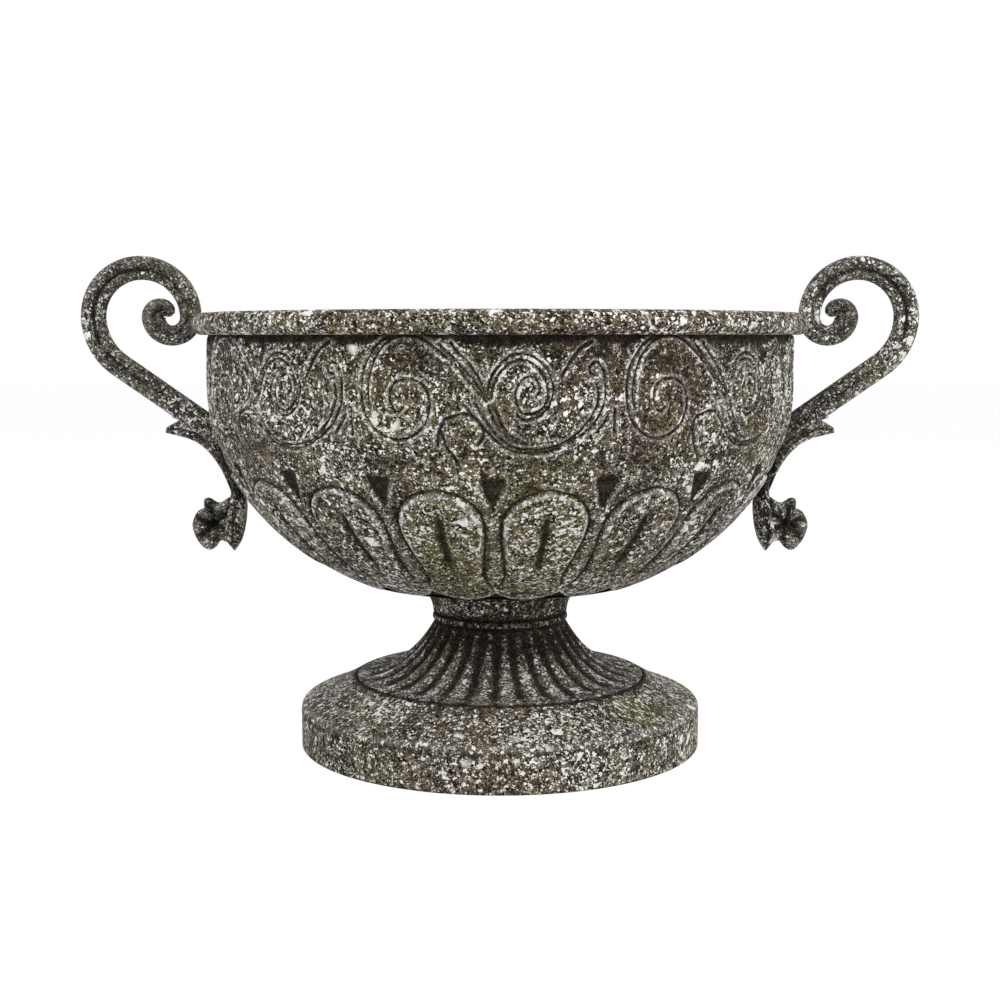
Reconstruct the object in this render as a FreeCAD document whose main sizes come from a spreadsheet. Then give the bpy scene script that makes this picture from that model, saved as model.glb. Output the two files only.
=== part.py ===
import FreeCAD, Part
import math
import os
import Sketcher

# Two-handled iron plant pot. The pot's axis is Z, the handles lie along X and the front faces -Y.
# Lengths are in millimetres, turns and slopes in degrees.

HALVINGS = 60

SIZES = [
    # clearances
    ("fit_gap", "0.3"),
    ("joint_gap", "0.7"),
    # plinth
    ("base_radius", "106.4"),
    ("base_wall_height", "20.5"),
    ("base_height", "36.5"),
    ("base_thickness", "5"),
    ("base_shoulder", "6"),
    ("base_edge_round", "2"),
    ("base_opening", "58"),
    ("seat_recess", "1.2"),
    # fluted foot
    ("foot_radius", "76.5"),
    ("foot_height", "35.2"),
    ("foot_lip", "1.6"),
    ("foot_wall_across", "6"),
    ("foot_wall_down", "3"),
    ("flare_low_reach", "18.5"),
    ("flare_low_rise", "6"),
    ("flare_high_reach", "2.4"),
    ("flare_high_rise", "11"),
    ("waist_radius", "35"),
    ("waist_height", "4.6"),
    ("flute_count", "32"),
    ("flute_depth", "1.8"),
    ("flute_turn", "3.3"),
    # neck and the dish that the bowl stands in
    ("neck_height", "18.2"),
    ("neck_radius", "35.8"),
    ("neck_flare_radius", "50"),
    ("neck_flare_bend", "29"),
    ("dish_thickness", "3.2"),
    ("neck_bore", "23"),
    ("neck_spigot", "6"),
    ("dish_radius", "73"),
    ("dish_edge", "1.6"),
    # bowl
    ("rim_radius", "160"),
    ("rim_bead", "11"),
    ("rim_overhang", "8.5"),
    ("bowl_height", "139.8"),
    ("bowl_straight", "27.5"),
    ("bowl_wall", "3.5"),
    ("bowl_floor", "4"),
    ("floor_radius", "74"),
    ("drain_radius", "4.5"),
    ("drain_circle", "14.5"),
    ("drain_count", "4"),
    # tongues round the bowl
    ("tongues_each_side", "8"),
    ("tongue_pitch", "21.1"),
    ("tongue_relief", "1.8"),
    ("tongue_root", "1.2"),
    ("tongue_low", "3"),
    ("lobe_high", "7.5"),
    ("lobe_width", "29"),
    ("tongue_belly", "37"),
    ("tongue_high", "60"),
    ("tongue_width", "38"),
    ("valley_low", "18"),
    ("valley_high", "47"),
    ("valley_width", "5.4"),
    ("dart_low", "50"),
    ("dart_high", "66"),
    ("dart_width", "14"),
    ("dart_depth", "1"),
    # band of scrolls between the tongues and the rim
    ("scroll_units", "8"),
    ("scroll_turn", "-3"),
    ("scroll_relief", "0.9"),
    ("scroll_gap", "8"),
    ("scroll_ledge", "0.5"),
    ("scroll_width", "4.4"),
    ("scroll_end_width", "2.8"),
    ("strap_field", "20"),
    # scroll bar of a handle
    ("bar_depth", "13"),
    ("bar_crown_width", "12.6"),
    ("bar_arm_width", "10.6"),
    ("bar_curl_width", "9.6"),
    ("bar_tip_width", "9.2"),
    ("button_radius", "5.2"),
    ("button_depth", "11"),
    ("bar_groove", "1.2"),
    ("rim_bite", "2.3"),
    ("scroll_rise", "4"),
    ("crown_radius", "25.6"),
    ("shoulder_radius", "31"),
    ("curl_radius", "10.4"),
    ("tip_radius", "5.3"),
    ("tip_turn", "140"),
    ("bar_slope", "35"),
    # strap and leaves of a handle
    ("strap_length", "22"),
    ("strap_thickness", "7"),
    ("strap_width", "15"),
    ("strap_neck_width", "12"),
    ("strap_bend", "14"),
    ("strap_drop", "12"),
    ("leaf_reach", "21"),
    ("leaf_length", "31"),
    ("leaf_width", "22"),
    ("leaf_edge", "2.4"),
    ("spur_drop", "17.5"),
    ("spur_bend", "25"),
    ("spur_tip", "8"),
    ("spur_thickness", "13"),
    ("spur_end_thickness", "9"),
    ("spur_tip_thickness", "6"),
    ("spur_width", "17"),
    ("spur_tip_width", "9"),
    # long bolt and cross bar
    ("bolt_radius", "4"),
    ("bolt_head_height", "5.3"),
    ("bolt_head_radius", "7.5"),
    ("bolt_tail", "4"),
    ("bolt_washer_radius", "8.4"),
    ("bolt_washer_thickness", "1.6"),
    ("nut_height", "6.5"),
    ("cross_bar_bearing", "12"),
    ("cross_bar_width", "24"),
    ("cross_bar_thickness", "6"),
    # handle screws
    ("screw_radius", "2.5"),
    ("screw_head_radius", "4.2"),
    ("screw_head_height", "2.8"),
    ("screw_washer_radius", "4.8"),
    ("screw_washer_thickness", "1"),
    ("screw_seat_gap", "0.22"),
    ("screw_end_gap", "0.5"),
    ("rim_screw_bite", "5.5"),
    ("strap_screw_bite", "6"),
    ("strap_screw_high", "2.5"),
    ("strap_screw_low", "14"),
]

DERIVED = [
    ("seat_z", "=base_height - seat_recess"),
    ("foot_top_z", "=seat_z + foot_height"),
    ("bowl_seat_z", "=foot_top_z + neck_height"),
    ("rim_top_z", "=bowl_seat_z + bowl_height"),
    ("rim_mid_z", "=rim_top_z - rim_bead / 2"),
    ("wall_radius", "=rim_radius - rim_overhang"),
    ("curve_z", "=rim_top_z - rim_bead - bowl_straight"),
    ("curve_half", "=(curve_z - bowl_seat_z) / sqrt(1 - (floor_radius / wall_radius)^2)"),
    ("scroll_low_z", "=bowl_seat_z + tongue_high + scroll_gap"),
    ("scroll_high_z", "=rim_top_z - rim_bead - scroll_ledge"),
    ("inner_radius", "=wall_radius - bowl_wall"),
    ("inner_half", "=curve_half - bowl_wall"),
    ("inner_floor_z", "=bowl_seat_z + bowl_floor"),
    ("base_inner_radius", "=base_radius - base_thickness"),
    ("base_inner_height", "=base_wall_height - base_shoulder"),
    ("base_under_z", "=seat_z - base_thickness"),
    ("base_flat_radius", "=base_opening + cross_bar_bearing + base_thickness / 2"),
    ("recess_radius", "=foot_radius + joint_gap"),
    ("flare_low_z", "=seat_z + foot_lip"),
    ("waist_z", "=foot_top_z - waist_height"),
    ("foot_bore", "=waist_radius - foot_wall_across"),
    ("spigot_radius", "=foot_bore - fit_gap"),
    ("spigot_z", "=foot_top_z - neck_spigot"),
    ("dish_under_z", "=bowl_seat_z - dish_thickness"),
    ("dish_edge_z", "=bowl_seat_z - dish_edge"),
    ("cross_bar_z", "=base_under_z - cross_bar_thickness"),
    ("bar_washer_z", "=cross_bar_z - bolt_washer_thickness"),
    ("nut_z", "=bar_washer_z - nut_height"),
    ("bolt_low_z", "=nut_z - bolt_tail"),
    ("bolt_head_z", "=inner_floor_z + bolt_washer_thickness"),
    ("arm_x", "=rim_radius + bar_arm_width / 2 - rim_bite"),
    ("arm_z", "=rim_mid_z + scroll_rise"),
]

doc = FreeCAD.newDocument("plant_pot")
sheet = doc.addObject("Spreadsheet::Sheet", "Sizes")
for row, (alias, text) in enumerate(SIZES + DERIVED, start=1):
    sheet.set("A%d" % row, alias)
    sheet.set("B%d" % row, text)
    sheet.setAlias("B%d" % row, alias)
doc.recompute()


def size(alias):
    return float(sheet.get(alias))


def vec(x, y, z):
    return FreeCAD.Vector(x, y, z)


def named(text):
    """Turn plain size names in a formula into references to the sheet."""
    known = {alias for alias, _ in SIZES + DERIVED}
    return " ".join("Sizes." + word if word in known else word for word in text.split())


def primitive(kind, name, z=None, **properties):
    """A Part primitive with its properties, and its height, bound to the sheet."""
    piece = doc.addObject(kind, name)
    for key, text in properties.items():
        piece.setExpression(key, named(text))
    if z is not None:
        piece.setExpression("Placement.Base.z", named(z))
    return piece


def fuse(name, pieces):
    joined = doc.addObject("Part::MultiFuse", name)
    joined.Shapes = pieces
    return joined


def cut(name, base, tool):
    remainder = doc.addObject("Part::Cut", name)
    remainder.Base = base
    remainder.Tool = tool
    return remainder


def feature(name, shape):
    piece = doc.addObject("Part::Feature", name)
    piece.Shape = shape
    return piece


def origin_plane(body, role):
    return [item for item in body.Origin.OriginFeatures if item.Role == role][0]


def turned_body(name, corners, bend_after=None, bend=None):
    """A body turned about Z from an outline whose corners are pairs of size names.

    A corner's height of None lies on the ground. The side after corner number bend_after is a hollow arc."""
    body = doc.addObject("PartDesign::Body", name)
    sketch = body.newObject("Sketcher::SketchObject", name + "_outline")
    sketch.AttachmentSupport = [(origin_plane(body, "XZ_Plane"), "")]
    sketch.MapMode = "FlatFace"
    points = [vec(size(radius), size(height) if height else 0, 0) for radius, height in corners]
    count = len(points)
    for index, start in enumerate(points):
        end = points[(index + 1) % count]
        if index == bend_after:
            along = end - start
            across = vec(-along.y, along.x, 0).normalize()
            radius = size(bend)
            sag = radius - math.sqrt(radius ** 2 - (along.Length / 2) ** 2)
            sketch.addGeometry(Part.Arc(start, (start + end) * 0.5 + across * sag, end))
        else:
            sketch.addGeometry(Part.LineSegment(start, end))
    first = {}
    last = {}
    for index, start in enumerate(points):
        to_ends = [(sketch.getPoint(index, end) - start).Length for end in (1, 2)]
        first[index], last[index] = (1, 2) if to_ends[0] < to_ends[1] else (2, 1)
    for index in range(count):
        following = (index + 1) % count
        joined = Sketcher.Constraint("Coincident", index, last[index], following, first[following])
        sketch.addConstraint(joined)
    for index, (radius, height) in enumerate(corners):
        across = sketch.addConstraint(Sketcher.Constraint("DistanceX", index, first[index], points[index].x))
        sketch.setExpression("Constraints[%d]" % across, named(radius))
        if height:
            up = sketch.addConstraint(Sketcher.Constraint("DistanceY", index, first[index], points[index].y))
            sketch.setExpression("Constraints[%d]" % up, named(height))
        else:
            sketch.addConstraint(Sketcher.Constraint("PointOnObject", index, first[index], -1))
    if bend:
        round_off = sketch.addConstraint(Sketcher.Constraint("Radius", bend_after, size(bend)))
        sketch.setExpression("Constraints[%d]" % round_off, named(bend))
    turn = body.newObject("PartDesign::Revolution", name + "_turn")
    turn.Profile = sketch
    turn.ReferenceAxis = (sketch, ["V_Axis"])
    turn.Angle = 360
    doc.recompute()
    return body


def turned(edges):
    """A solid turned about Z from a closed outline of edges in the XZ plane."""
    face = Part.Face(Part.Wire(Part.__sortEdges__(edges)))
    return face.revolve(vec(0, 0, 0), vec(0, 0, 1), 360)


def polyline(points):
    return [Part.makeLine(start, end) for start, end in zip(points, points[1:])]


# The bowl's outside: an upright wall above, a quarter of an ellipse below, cut off at the floor.

def wall_at(height):
    """Radius of the bowl's outside at a height below the rim."""
    drop = max(size("curve_z") - height, 0.0) / size("curve_half")
    return size("wall_radius") * math.sqrt(max(1.0 - drop ** 2, 0.0))


def wall_normal(height):
    """Outward direction of the bowl's outside at a height, in the XZ plane."""
    drop = max(size("curve_z") - height, 0.0)
    return vec(wall_at(height) / size("wall_radius") ** 2, 0, -drop / size("curve_half") ** 2).normalize()


def curve_point(radius, half, height):
    """Point of an elliptical curve with the bowl's centre at a height."""
    drop = (size("curve_z") - height) / half
    return vec(radius * math.sqrt(1.0 - drop ** 2), 0, height)


def curve_edge(radius, half, low, high):
    """Elliptical edge from one height to another."""
    centre = vec(0, 0, size("curve_z"))
    spans = [vec(radius, 0, 0), vec(0, 0, -half)]
    long_axis, short_axis = sorted(spans, key=lambda span: span.Length, reverse=True)
    ellipse = Part.Ellipse(centre + long_axis, centre + short_axis, centre)
    ends = sorted(ellipse.parameter(curve_point(radius, half, height)) for height in (low, high))
    return Part.ArcOfEllipse(ellipse, *ends).toShape()


def bowl_lump(grow):
    """The bowl's outside and rim as one full lump, grown outwards by a clearance."""
    radius = size("wall_radius") + grow
    half = size("curve_half") + grow
    low = size("bowl_seat_z") - grow
    top = size("rim_top_z")
    corner = curve_point(radius, half, low)
    outline = polyline([
        vec(radius, 0, size("curve_z")), vec(radius, 0, top), vec(0, 0, top), vec(0, 0, low), corner])
    lump = turned(outline + [curve_edge(radius, half, low, size("curve_z"))])
    bead = size("rim_bead") / 2
    return lump.fuse(Part.makeTorus(size("rim_radius") - bead, bead + grow, vec(0, 0, size("rim_mid_z"))))


# Plinth

plinth_body = turned_body("plinth_body", [
    ("base_inner_radius", None),
    ("base_radius", None),
    ("base_radius", "base_wall_height"),
    ("recess_radius", "base_height"),
    ("recess_radius", "seat_z"),
    ("base_opening", "seat_z"),
    ("base_opening", "base_under_z"),
    ("base_flat_radius", "base_under_z"),
    ("base_inner_radius", "base_inner_height"),
])


def circle_edge_name(shape, radius, height):
    """Name of the circular edge of a given radius nearest to a height."""
    found = []
    for number, edge in enumerate(shape.Edges, start=1):
        if hasattr(edge.Curve, "Radius") and abs(edge.Curve.Radius - radius) < size("fit_gap"):
            found.append((abs(edge.Curve.Center.z - height), "Edge%d" % number))
    return min(found)[1]


edge_round = plinth_body.newObject("PartDesign::Fillet", "plinth_edge_round")
turned_plinth = doc.getObject("plinth_body_turn")
shoulder_edge = circle_edge_name(turned_plinth.Shape, size("base_radius"), size("base_wall_height"))
edge_round.Base = (turned_plinth, [shoulder_edge])
edge_round.setExpression("Radius", named("base_edge_round"))
plinth_body.Label = "plinth"

# Fluted foot: a flare with hollow flutes between a plain lip and the waist ring

FLARE_STATIONS = [0.0, 0.08, 0.2, 0.35, 0.5, 0.65, 0.8, 0.92, 1.0]
FLUTE_SHARES = [0.15, 0.55, 0.95, 1.0, 0.9, 0.75, 0.55, 0.35, 0.15]


def flare_poles(back, down):
    """Poles of the flare's curve, moved towards the axis and down."""
    low = size("flare_low_z") - down
    high = size("waist_z") - down
    wide = size("foot_radius") - back
    narrow = size("waist_radius") - back
    return [
        vec(wide, 0, low),
        vec(wide - size("flare_low_reach"), 0, low + size("flare_low_rise")),
        vec(narrow + size("flare_high_reach"), 0, high - size("flare_high_rise")),
        vec(narrow, 0, high),
    ]


def flare_curve(back, down):
    curve = Part.BezierCurve()
    curve.setPoles(flare_poles(back, down))
    return curve


def fluted_ring(radius, height, depth, count):
    """Closed outline of hollow flutes that meet in sharp ridges."""
    pitch = 2 * math.pi / count
    arcs = []
    for flute in range(count):
        turns = [pitch * (flute + share) for share in (0.0, 0.5, 1.0)]
        reaches = [radius, radius - depth, radius]
        start, middle, end = [vec(r * math.cos(a), r * math.sin(a), height) for r, a in zip(reaches, turns)]
        arcs.append(Part.Arc(start, middle, end).toShape())
    return Part.Wire(arcs)


def fluted_flare():
    curve = flare_curve(0.0, 0.0)
    rings = []
    for station, share in zip(FLARE_STATIONS, FLUTE_SHARES):
        point = curve.value(station)
        pitch_sag = point.x * (1 - math.cos(math.pi / size("flute_count")))
        depth = pitch_sag + size("flute_depth") * share * point.x / size("foot_radius")
        rings.append(fluted_ring(point.x, point.z, depth, int(size("flute_count"))))
    fluted = Part.makeLoft(rings, True, False)
    fluted.rotate(vec(0, 0, 0), vec(0, 0, 1), size("flute_turn"))
    return fluted


def foot_hollow():
    """The room inside the foot, drawn back from the flare by its wall."""
    curve = flare_curve(size("foot_wall_across"), size("foot_wall_down"))
    low = curve.value(0.0)
    high = curve.value(1.0)
    top = vec(high.x, 0, size("foot_top_z") + size("foot_wall_across"))
    sides = polyline([high, top, vec(0, 0, top.z), vec(0, 0, low.z), low])
    return turned(sides + [curve.toShape()])


flare = feature("foot_flare", fluted_flare())
lip = primitive("Part::Cylinder", "foot_lip_ring", "seat_z", Radius="foot_radius", Height="foot_lip")
ring_core = primitive("Part::Cylinder", "waist_core", "waist_z", Radius="waist_radius", Height="waist_height")
ring_bead = primitive("Part::Torus", "waist_bead", "waist_z + waist_height / 2",
                      Radius1="waist_radius - waist_height / 4", Radius2="waist_height / 2")
foot_outside = fuse("foot_outside", [flare, lip, ring_core, ring_bead])
fluted_foot = cut("fluted_foot", foot_outside, feature("foot_room", foot_hollow()))
fluted_foot.Label = "fluted_foot"

# Neck: a spigot in the foot, a flare and the flat dish that the bowl stands on

neck = turned_body("neck_body", [
    ("neck_bore", "spigot_z"),
    ("spigot_radius", "spigot_z"),
    ("spigot_radius", "foot_top_z"),
    ("neck_radius", "foot_top_z"),
    ("neck_flare_radius", "dish_under_z"),
    ("dish_radius", "dish_edge_z"),
    ("dish_radius", "bowl_seat_z"),
    ("neck_bore", "bowl_seat_z"),
], bend_after=3, bend="neck_flare_bend")
neck.Label = "neck"

# Handles: the scroll bar is one tangent path of arcs that ends in a straight run to the bowl

def direction(angle):
    return vec(math.cos(math.radians(angle)), 0, math.sin(math.radians(angle)))


def swung(point, centre, angle):
    """Point turned about a centre in the XZ plane, from +X towards +Z."""
    return centre + FreeCAD.Rotation(vec(0, -1, 0), angle).multVec(point - centre)


def tangent_path(start, heading, steps):
    """Edges, corner points and headings of a path in the XZ plane.

    A step is a length with no turn, or a radius with a turn, positive to the left."""
    edges = []
    points = [start]
    headings = [heading]
    for reach, turn in steps:
        point = points[-1]
        angle = headings[-1]
        if turn == 0:
            end = point + direction(angle) * reach
            edges.append(Part.makeLine(point, end))
        else:
            centre = point + direction(angle + math.copysign(90, turn)) * reach
            end = swung(point, centre, turn)
            edges.append(Part.Arc(point, swung(point, centre, turn / 2), end).toShape())
        points.append(end)
        headings.append(angle + turn)
    return edges, points, headings


def across_at(point, heading, pairs):
    """Points of a cross-section, given as distances to the left of the path and along Y."""
    left = direction(heading + 90)
    return [point + left * side + vec(0, deep, 0) for side, deep in pairs]


REED_FULLNESS = 0.92


def reeded_section(point, heading, width):
    """Two rounded reeds side by side with a groove between them on each face."""
    half = width / 2
    deep = size("bar_depth") / 2
    groove = deep - size("bar_groove")
    crest = half / 2
    brow = deep / 2
    edge = half * REED_FULLNESS
    pairs = [(0, groove), (crest, deep), (edge, brow), (half, 0), (edge, -brow), (crest, -deep),
             (0, -groove), (-crest, -deep), (-edge, -brow), (-half, 0), (-edge, brow), (-crest, deep),
             (0, groove)]
    points = across_at(point, heading, pairs)
    arcs = [Part.Arc(*points[start:start + 3]).toShape() for start in range(0, 12, 2)]
    return Part.Wire(arcs)


def leaf_section(point, heading, thickness, width, edge):
    """Leaf-shaped cross-section, thick at its rib and thin at its two edges."""
    thin = edge / 2
    thick = thickness / 2
    half = width / 2
    pairs = [(thin, half), (thick, 0), (thin, -half), (-thin, -half), (-thick, 0), (-thin, half)]
    points = across_at(point, heading, pairs)
    return Part.Wire([
        Part.Arc(*points[0:3]).toShape(),
        Part.makeLine(points[2], points[3]),
        Part.Arc(*points[3:6]).toShape(),
        Part.makeLine(points[5], points[0]),
    ])


# Sections along a path: the turn between two of them, and the least number on one edge
SECTION_TURN = 15
LEAST_SECTIONS = 4


def lofted(edges, points, headings, shapes, section):
    """Solid through cross-sections along a path. Their sizes change evenly from corner to corner."""
    wires = []
    for number, edge in enumerate(edges):
        start, end = points[number:number + 2]
        turn = headings[number + 1] - headings[number]
        count = max(round(abs(turn) / SECTION_TURN), LEAST_SECTIONS)
        for step in range(count):
            share = step / count
            spot = swung(start, edge.Curve.Center, turn * share) if turn else start + (end - start) * share
            shape = [a + (b - a) * share for a, b in zip(shapes[number], shapes[number + 1])]
            wires.append(section(spot, headings[number] + turn * share, *shape))
    wires.append(section(points[-1], headings[-1], *shapes[-1]))
    return Part.makeLoft(wires, True, True)


def bar_corners():
    """Path of the scroll bar from its tip to where it runs into the bowl's wall."""
    arm = vec(size("arm_x"), 0, size("arm_z"))
    curl = [(size("curl_radius"), 180), (size("tip_radius"), size("tip_turn"))]
    _, inner_points, inner_headings = tangent_path(arm, -90, curl)
    steps = [
        (size("tip_radius"), -size("tip_turn")),
        (size("curl_radius"), -180),
        (size("crown_radius"), -90),
        (size("crown_radius"), -90),
        (size("shoulder_radius"), size("bar_slope") - 90),
    ]
    _, points, headings = tangent_path(inner_points[-1], inner_headings[-1] + 180, steps)
    run = direction(headings[-1])
    near = 0.0
    far = size("rim_radius")
    for _ in range(HALVINGS):
        middle = (near + far) / 2
        spot = points[-1] + run * middle
        if spot.x > wall_at(spot.z):
            near = middle
        else:
            far = middle
    landing = points[-1] + run * near
    steps.append((near + size("bar_arm_width") / 2, 0))
    edges, points, headings = tangent_path(inner_points[-1], inner_headings[-1] + 180, steps)
    return edges, points, headings, landing


def scroll_bar(edges, points, headings):
    """The reeded bar with its curl, and the round end of the curl."""
    widths = ["bar_tip_width", "bar_curl_width", "bar_arm_width", "bar_crown_width", "bar_crown_width",
              "bar_arm_width", "bar_arm_width"]
    bar = lofted(edges, points, headings, [(size(width),) for width in widths], reeded_section)
    button = Part.makeCylinder(size("button_radius"), size("button_depth"),
                               points[0] - vec(0, size("button_depth") / 2, 0), vec(0, 1, 0))
    return [bar, button]


def off_wall(height, distance):
    return vec(wall_at(height), 0, height) + wall_normal(height) * distance


def strap_stand():
    """Distance of the strap's middle from the bowl's wall."""
    return size("fit_gap") + size("strap_thickness") / 2


def hanging_strap(landing):
    """The strap down the bowl's wall, which then hangs straight, and where it begins to hang."""
    heights = [landing.z - size("strap_length") * share for share in (0.0, 0.5, 1.0)]
    top, middle, foot = [off_wall(height, strap_stand()) for height in heights]
    hug = Part.Arc(top, middle, foot).toShape()
    arriving, leaving = [math.degrees(math.atan2(spoke.z, spoke.x)) - 90
                         for spoke in (top - hug.Curve.Center, foot - hug.Curve.Center)]
    steps = [(size("strap_bend"), -90 - leaving), (size("strap_drop"), 0)]
    edges, points, headings = tangent_path(foot, leaving, steps)
    edge = size("strap_thickness") - size("leaf_edge")
    broad = (size("strap_thickness"), size("strap_width"), edge)
    slim = (size("strap_thickness"), size("strap_neck_width"), edge)
    shapes = [broad, broad, slim, slim]
    return lofted([hug] + edges, [top] + points, [arriving] + headings, shapes, leaf_section), points[1]


def spur_leaf(landing):
    """The leaf that leaves the strap, swells under the bar and ends in a free tip."""
    root = off_wall(landing.z - size("spur_drop"), strap_stand())
    steps = [(size("spur_bend"), -45), (size("spur_bend"), -45), (size("spur_tip"), 0)]
    edges, points, headings = tangent_path(root, 90, steps)
    edge = size("leaf_edge")
    stations = [("strap_thickness", "strap_width"), ("spur_thickness", "spur_width"),
                ("spur_end_thickness", "spur_width"), ("spur_tip_thickness", "spur_tip_width")]
    shapes = [(size(thickness), size(width), edge) for thickness, width in stations]
    return lofted(edges, points, headings, shapes, leaf_section)


# Curled leaf from the strap round its upper lobe, belly, lower lobe and back: a point on each edge and the
# edge's end, as shares of the leaf's reach and length
LEAF_OUTLINE = [
    ((0.36, 0.09), (0.70, 0.05)),
    ((0.72, 0.12), (0.66, 0.20)),
    ((0.99, 0.42), (0.89, 0.74)),
    ((0.66, 0.985), (0.42, 0.93)),
    ((0.36, 0.85), (0.27, 0.80)),
    ((0.12, 0.93), (-0.06, 1.0)),
    ((-0.33, 0.52), (-0.34, 0.0)),
    ((-0.17, -0.02), (0.0, 0.0)),
]
LEAF_MIDDLE = (0.25, 0.5)
# Slices across the leaf: share of its half width and scale of its outline
LEAF_SLICES = [(-1.0, 0.62), (-0.55, 0.92), (0.0, 1.0), (0.55, 0.92), (1.0, 0.62)]


def curled_leaf(root):
    """The lobed leaf that the strap ends in, full in the middle and drawn in towards both sides."""
    corner = root + vec(size("strap_thickness") / 2, 0, 0)
    wires = []
    for side, scale in LEAF_SLICES:
        def spot(out, down):
            out = LEAF_MIDDLE[0] + (out - LEAF_MIDDLE[0]) * scale
            down = LEAF_MIDDLE[1] + (down - LEAF_MIDDLE[1]) * scale
            across = side * size("leaf_width") / 2
            return corner + vec(out * size("leaf_reach"), across, -down * size("leaf_length"))

        arcs = []
        start = LEAF_OUTLINE[-1][1]
        for middle, end in LEAF_OUTLINE:
            arcs.append(Part.Arc(spot(*start), spot(*middle), spot(*end)).toShape())
            start = end
        wires.append(Part.Wire(arcs))
    return Part.makeLoft(wires, True, False)


def screw_lines(landing):
    """Start on the bowl's outside, outward direction and bite of each screw of one handle."""
    lines = [(vec(size("rim_radius"), 0, size("rim_mid_z")), vec(1, 0, 0), size("rim_screw_bite"))]
    for height in (landing.z + size("strap_screw_high"), landing.z - size("strap_screw_low")):
        lines.append((off_wall(height, 0.0), wall_normal(height), size("strap_screw_bite")))
    return lines


bar_edges, bar_points, bar_headings, landing = bar_corners()


def handle_shape():
    strap, leaf_root = hanging_strap(landing)
    pieces = scroll_bar(bar_edges, bar_points, bar_headings)
    whole = strap.multiFuse(pieces + [spur_leaf(landing), curled_leaf(leaf_root)])
    whole = whole.cut(bowl_lump(size("fit_gap")))
    bore = size("screw_radius") + size("fit_gap")
    for start, out, bite in screw_lines(landing):
        back = size("rim_overhang")
        length = back + bite + size("screw_end_gap")
        whole = whole.cut(Part.makeCylinder(bore, length, start - out * back, out))
    return max(whole.Solids, key=lambda solid: solid.Volume)


right_handle = feature("right_handle", handle_shape())
right_handle.Label = "right_handle"
left_handle = doc.addObject("Part::Mirroring", "left_handle")
left_handle.Source = right_handle
left_handle.Normal = vec(1, 0, 0)
left_handle.Label = "left_handle"

# Bowl

below_seat = {"Radius": "wall_radius", "Height": "curve_half"}
outer_curve = primitive("Part::Ellipsoid", "bowl_outer_curve", "curve_z",
                        Radius1="curve_half", Radius2="wall_radius")
inner_curve = primitive("Part::Ellipsoid", "bowl_inner_curve", "curve_z",
                        Radius1="inner_half", Radius2="inner_radius")
for curve in (outer_curve, inner_curve):
    curve.Angle1 = -90
    curve.Angle2 = 0
outer_floor = primitive("Part::Cylinder", "below_bowl", "bowl_seat_z - curve_half", **below_seat)
inner_floor = primitive("Part::Cylinder", "below_floor", "inner_floor_z - curve_half", **below_seat)
outer_wall = primitive("Part::Cylinder", "bowl_outer_wall", "curve_z", Radius="wall_radius",
                       Height="rim_top_z - curve_z")
inner_wall = primitive("Part::Cylinder", "bowl_inner_wall", "curve_z", Radius="inner_radius",
                       Height="rim_top_z - curve_z + rim_bead")
rim = primitive("Part::Torus", "rolled_rim", "rim_mid_z",
                Radius1="rim_radius - rim_bead / 2", Radius2="rim_bead / 2")


def wall_skin(under, over, low, high):
    """A ring along the bowl's outside between two heights, from a depth in the wall to a height over it."""
    bend = min(high, size("curve_z"))
    edges = []
    ends = []
    for grow in (-under, over):
        radius = size("wall_radius") + grow
        half = size("curve_half") + grow
        edges.append(curve_edge(radius, half, low, bend))
        top = curve_point(radius, half, bend)
        if high > bend:
            edges += polyline([top, vec(radius, 0, high)])
            top = vec(radius, 0, high)
        ends.append((curve_point(radius, half, low), top))
    inner, outer = ends
    for start, end in zip(inner, outer):
        edges.append(Part.makeLine(start, end))
    return turned(edges)


def wall_chord(low, high):
    """Foot, upward and outward directions of the wall's chord between two heights above the bowl's seat."""
    heights = (size("bowl_seat_z") + low, size("bowl_seat_z") + high)
    foot, head = [vec(wall_at(height), 0, height) for height in heights]
    up = (head - foot).normalize()
    return foot, up, vec(up.z, 0, -up.x), (head - foot).Length


def tongue_outline():
    """Face of one tongue's outline, set upright on its chord inside the wall, and its outward direction.

    The foot is a round lobe, the sides widen to the belly, the head is a round arch and the middle has a
    narrow valley."""
    foot, up, out, length = wall_chord(size("tongue_low"), size("tongue_high"))
    back = foot - out * size("rim_bead")

    def rise(name):
        height = size("bowl_seat_z") + size(name)
        return (vec(wall_at(height), 0, height) - foot).dot(up)

    def at(along, side):
        return back + up * along + vec(0, side, 0)

    half = size("tongue_width") / 2
    lobe_half = size("lobe_width") / 2
    valley_half = size("valley_width") / 2
    lobe_up = rise("lobe_high")
    belly_up = min(rise("tongue_belly"), length - half)
    valley_low = at(rise("valley_low"), 0)
    valley_high = at(rise("valley_high"), 0)
    valley_middle = (rise("valley_low") + rise("valley_high")) / 2
    edges = [
        Part.Arc(at(lobe_up, lobe_half), at(0, 0), at(lobe_up, -lobe_half)).toShape(),
        Part.makeLine(at(lobe_up, -lobe_half), at(belly_up, -half)),
        Part.Arc(at(belly_up, -half), at(length, 0), at(belly_up, half)).toShape(),
        Part.makeLine(at(belly_up, half), at(lobe_up, lobe_half)),
    ]
    valley = [
        Part.Arc(valley_low, at(valley_middle, valley_half), valley_high).toShape(),
        Part.Arc(valley_high, at(valley_middle, -valley_half), valley_low).toShape(),
    ]
    return Part.Face(Part.Wire(edges)).cut(Part.Face(Part.Wire(valley))), out


def on_both_faces(shape, count, pitch):
    """Copies of a shape in rows on the bowl's front and back, side by side round the axis."""
    copies = []
    for face in (-90, 90):
        for number in range(count):
            copy = shape.copy()
            copy.rotate(vec(0, 0, 0), vec(0, 0, 1), face + pitch * (number - (count - 1) / 2))
            copies.extend(copy.Solids)
    return Part.makeCompound(copies)


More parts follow.
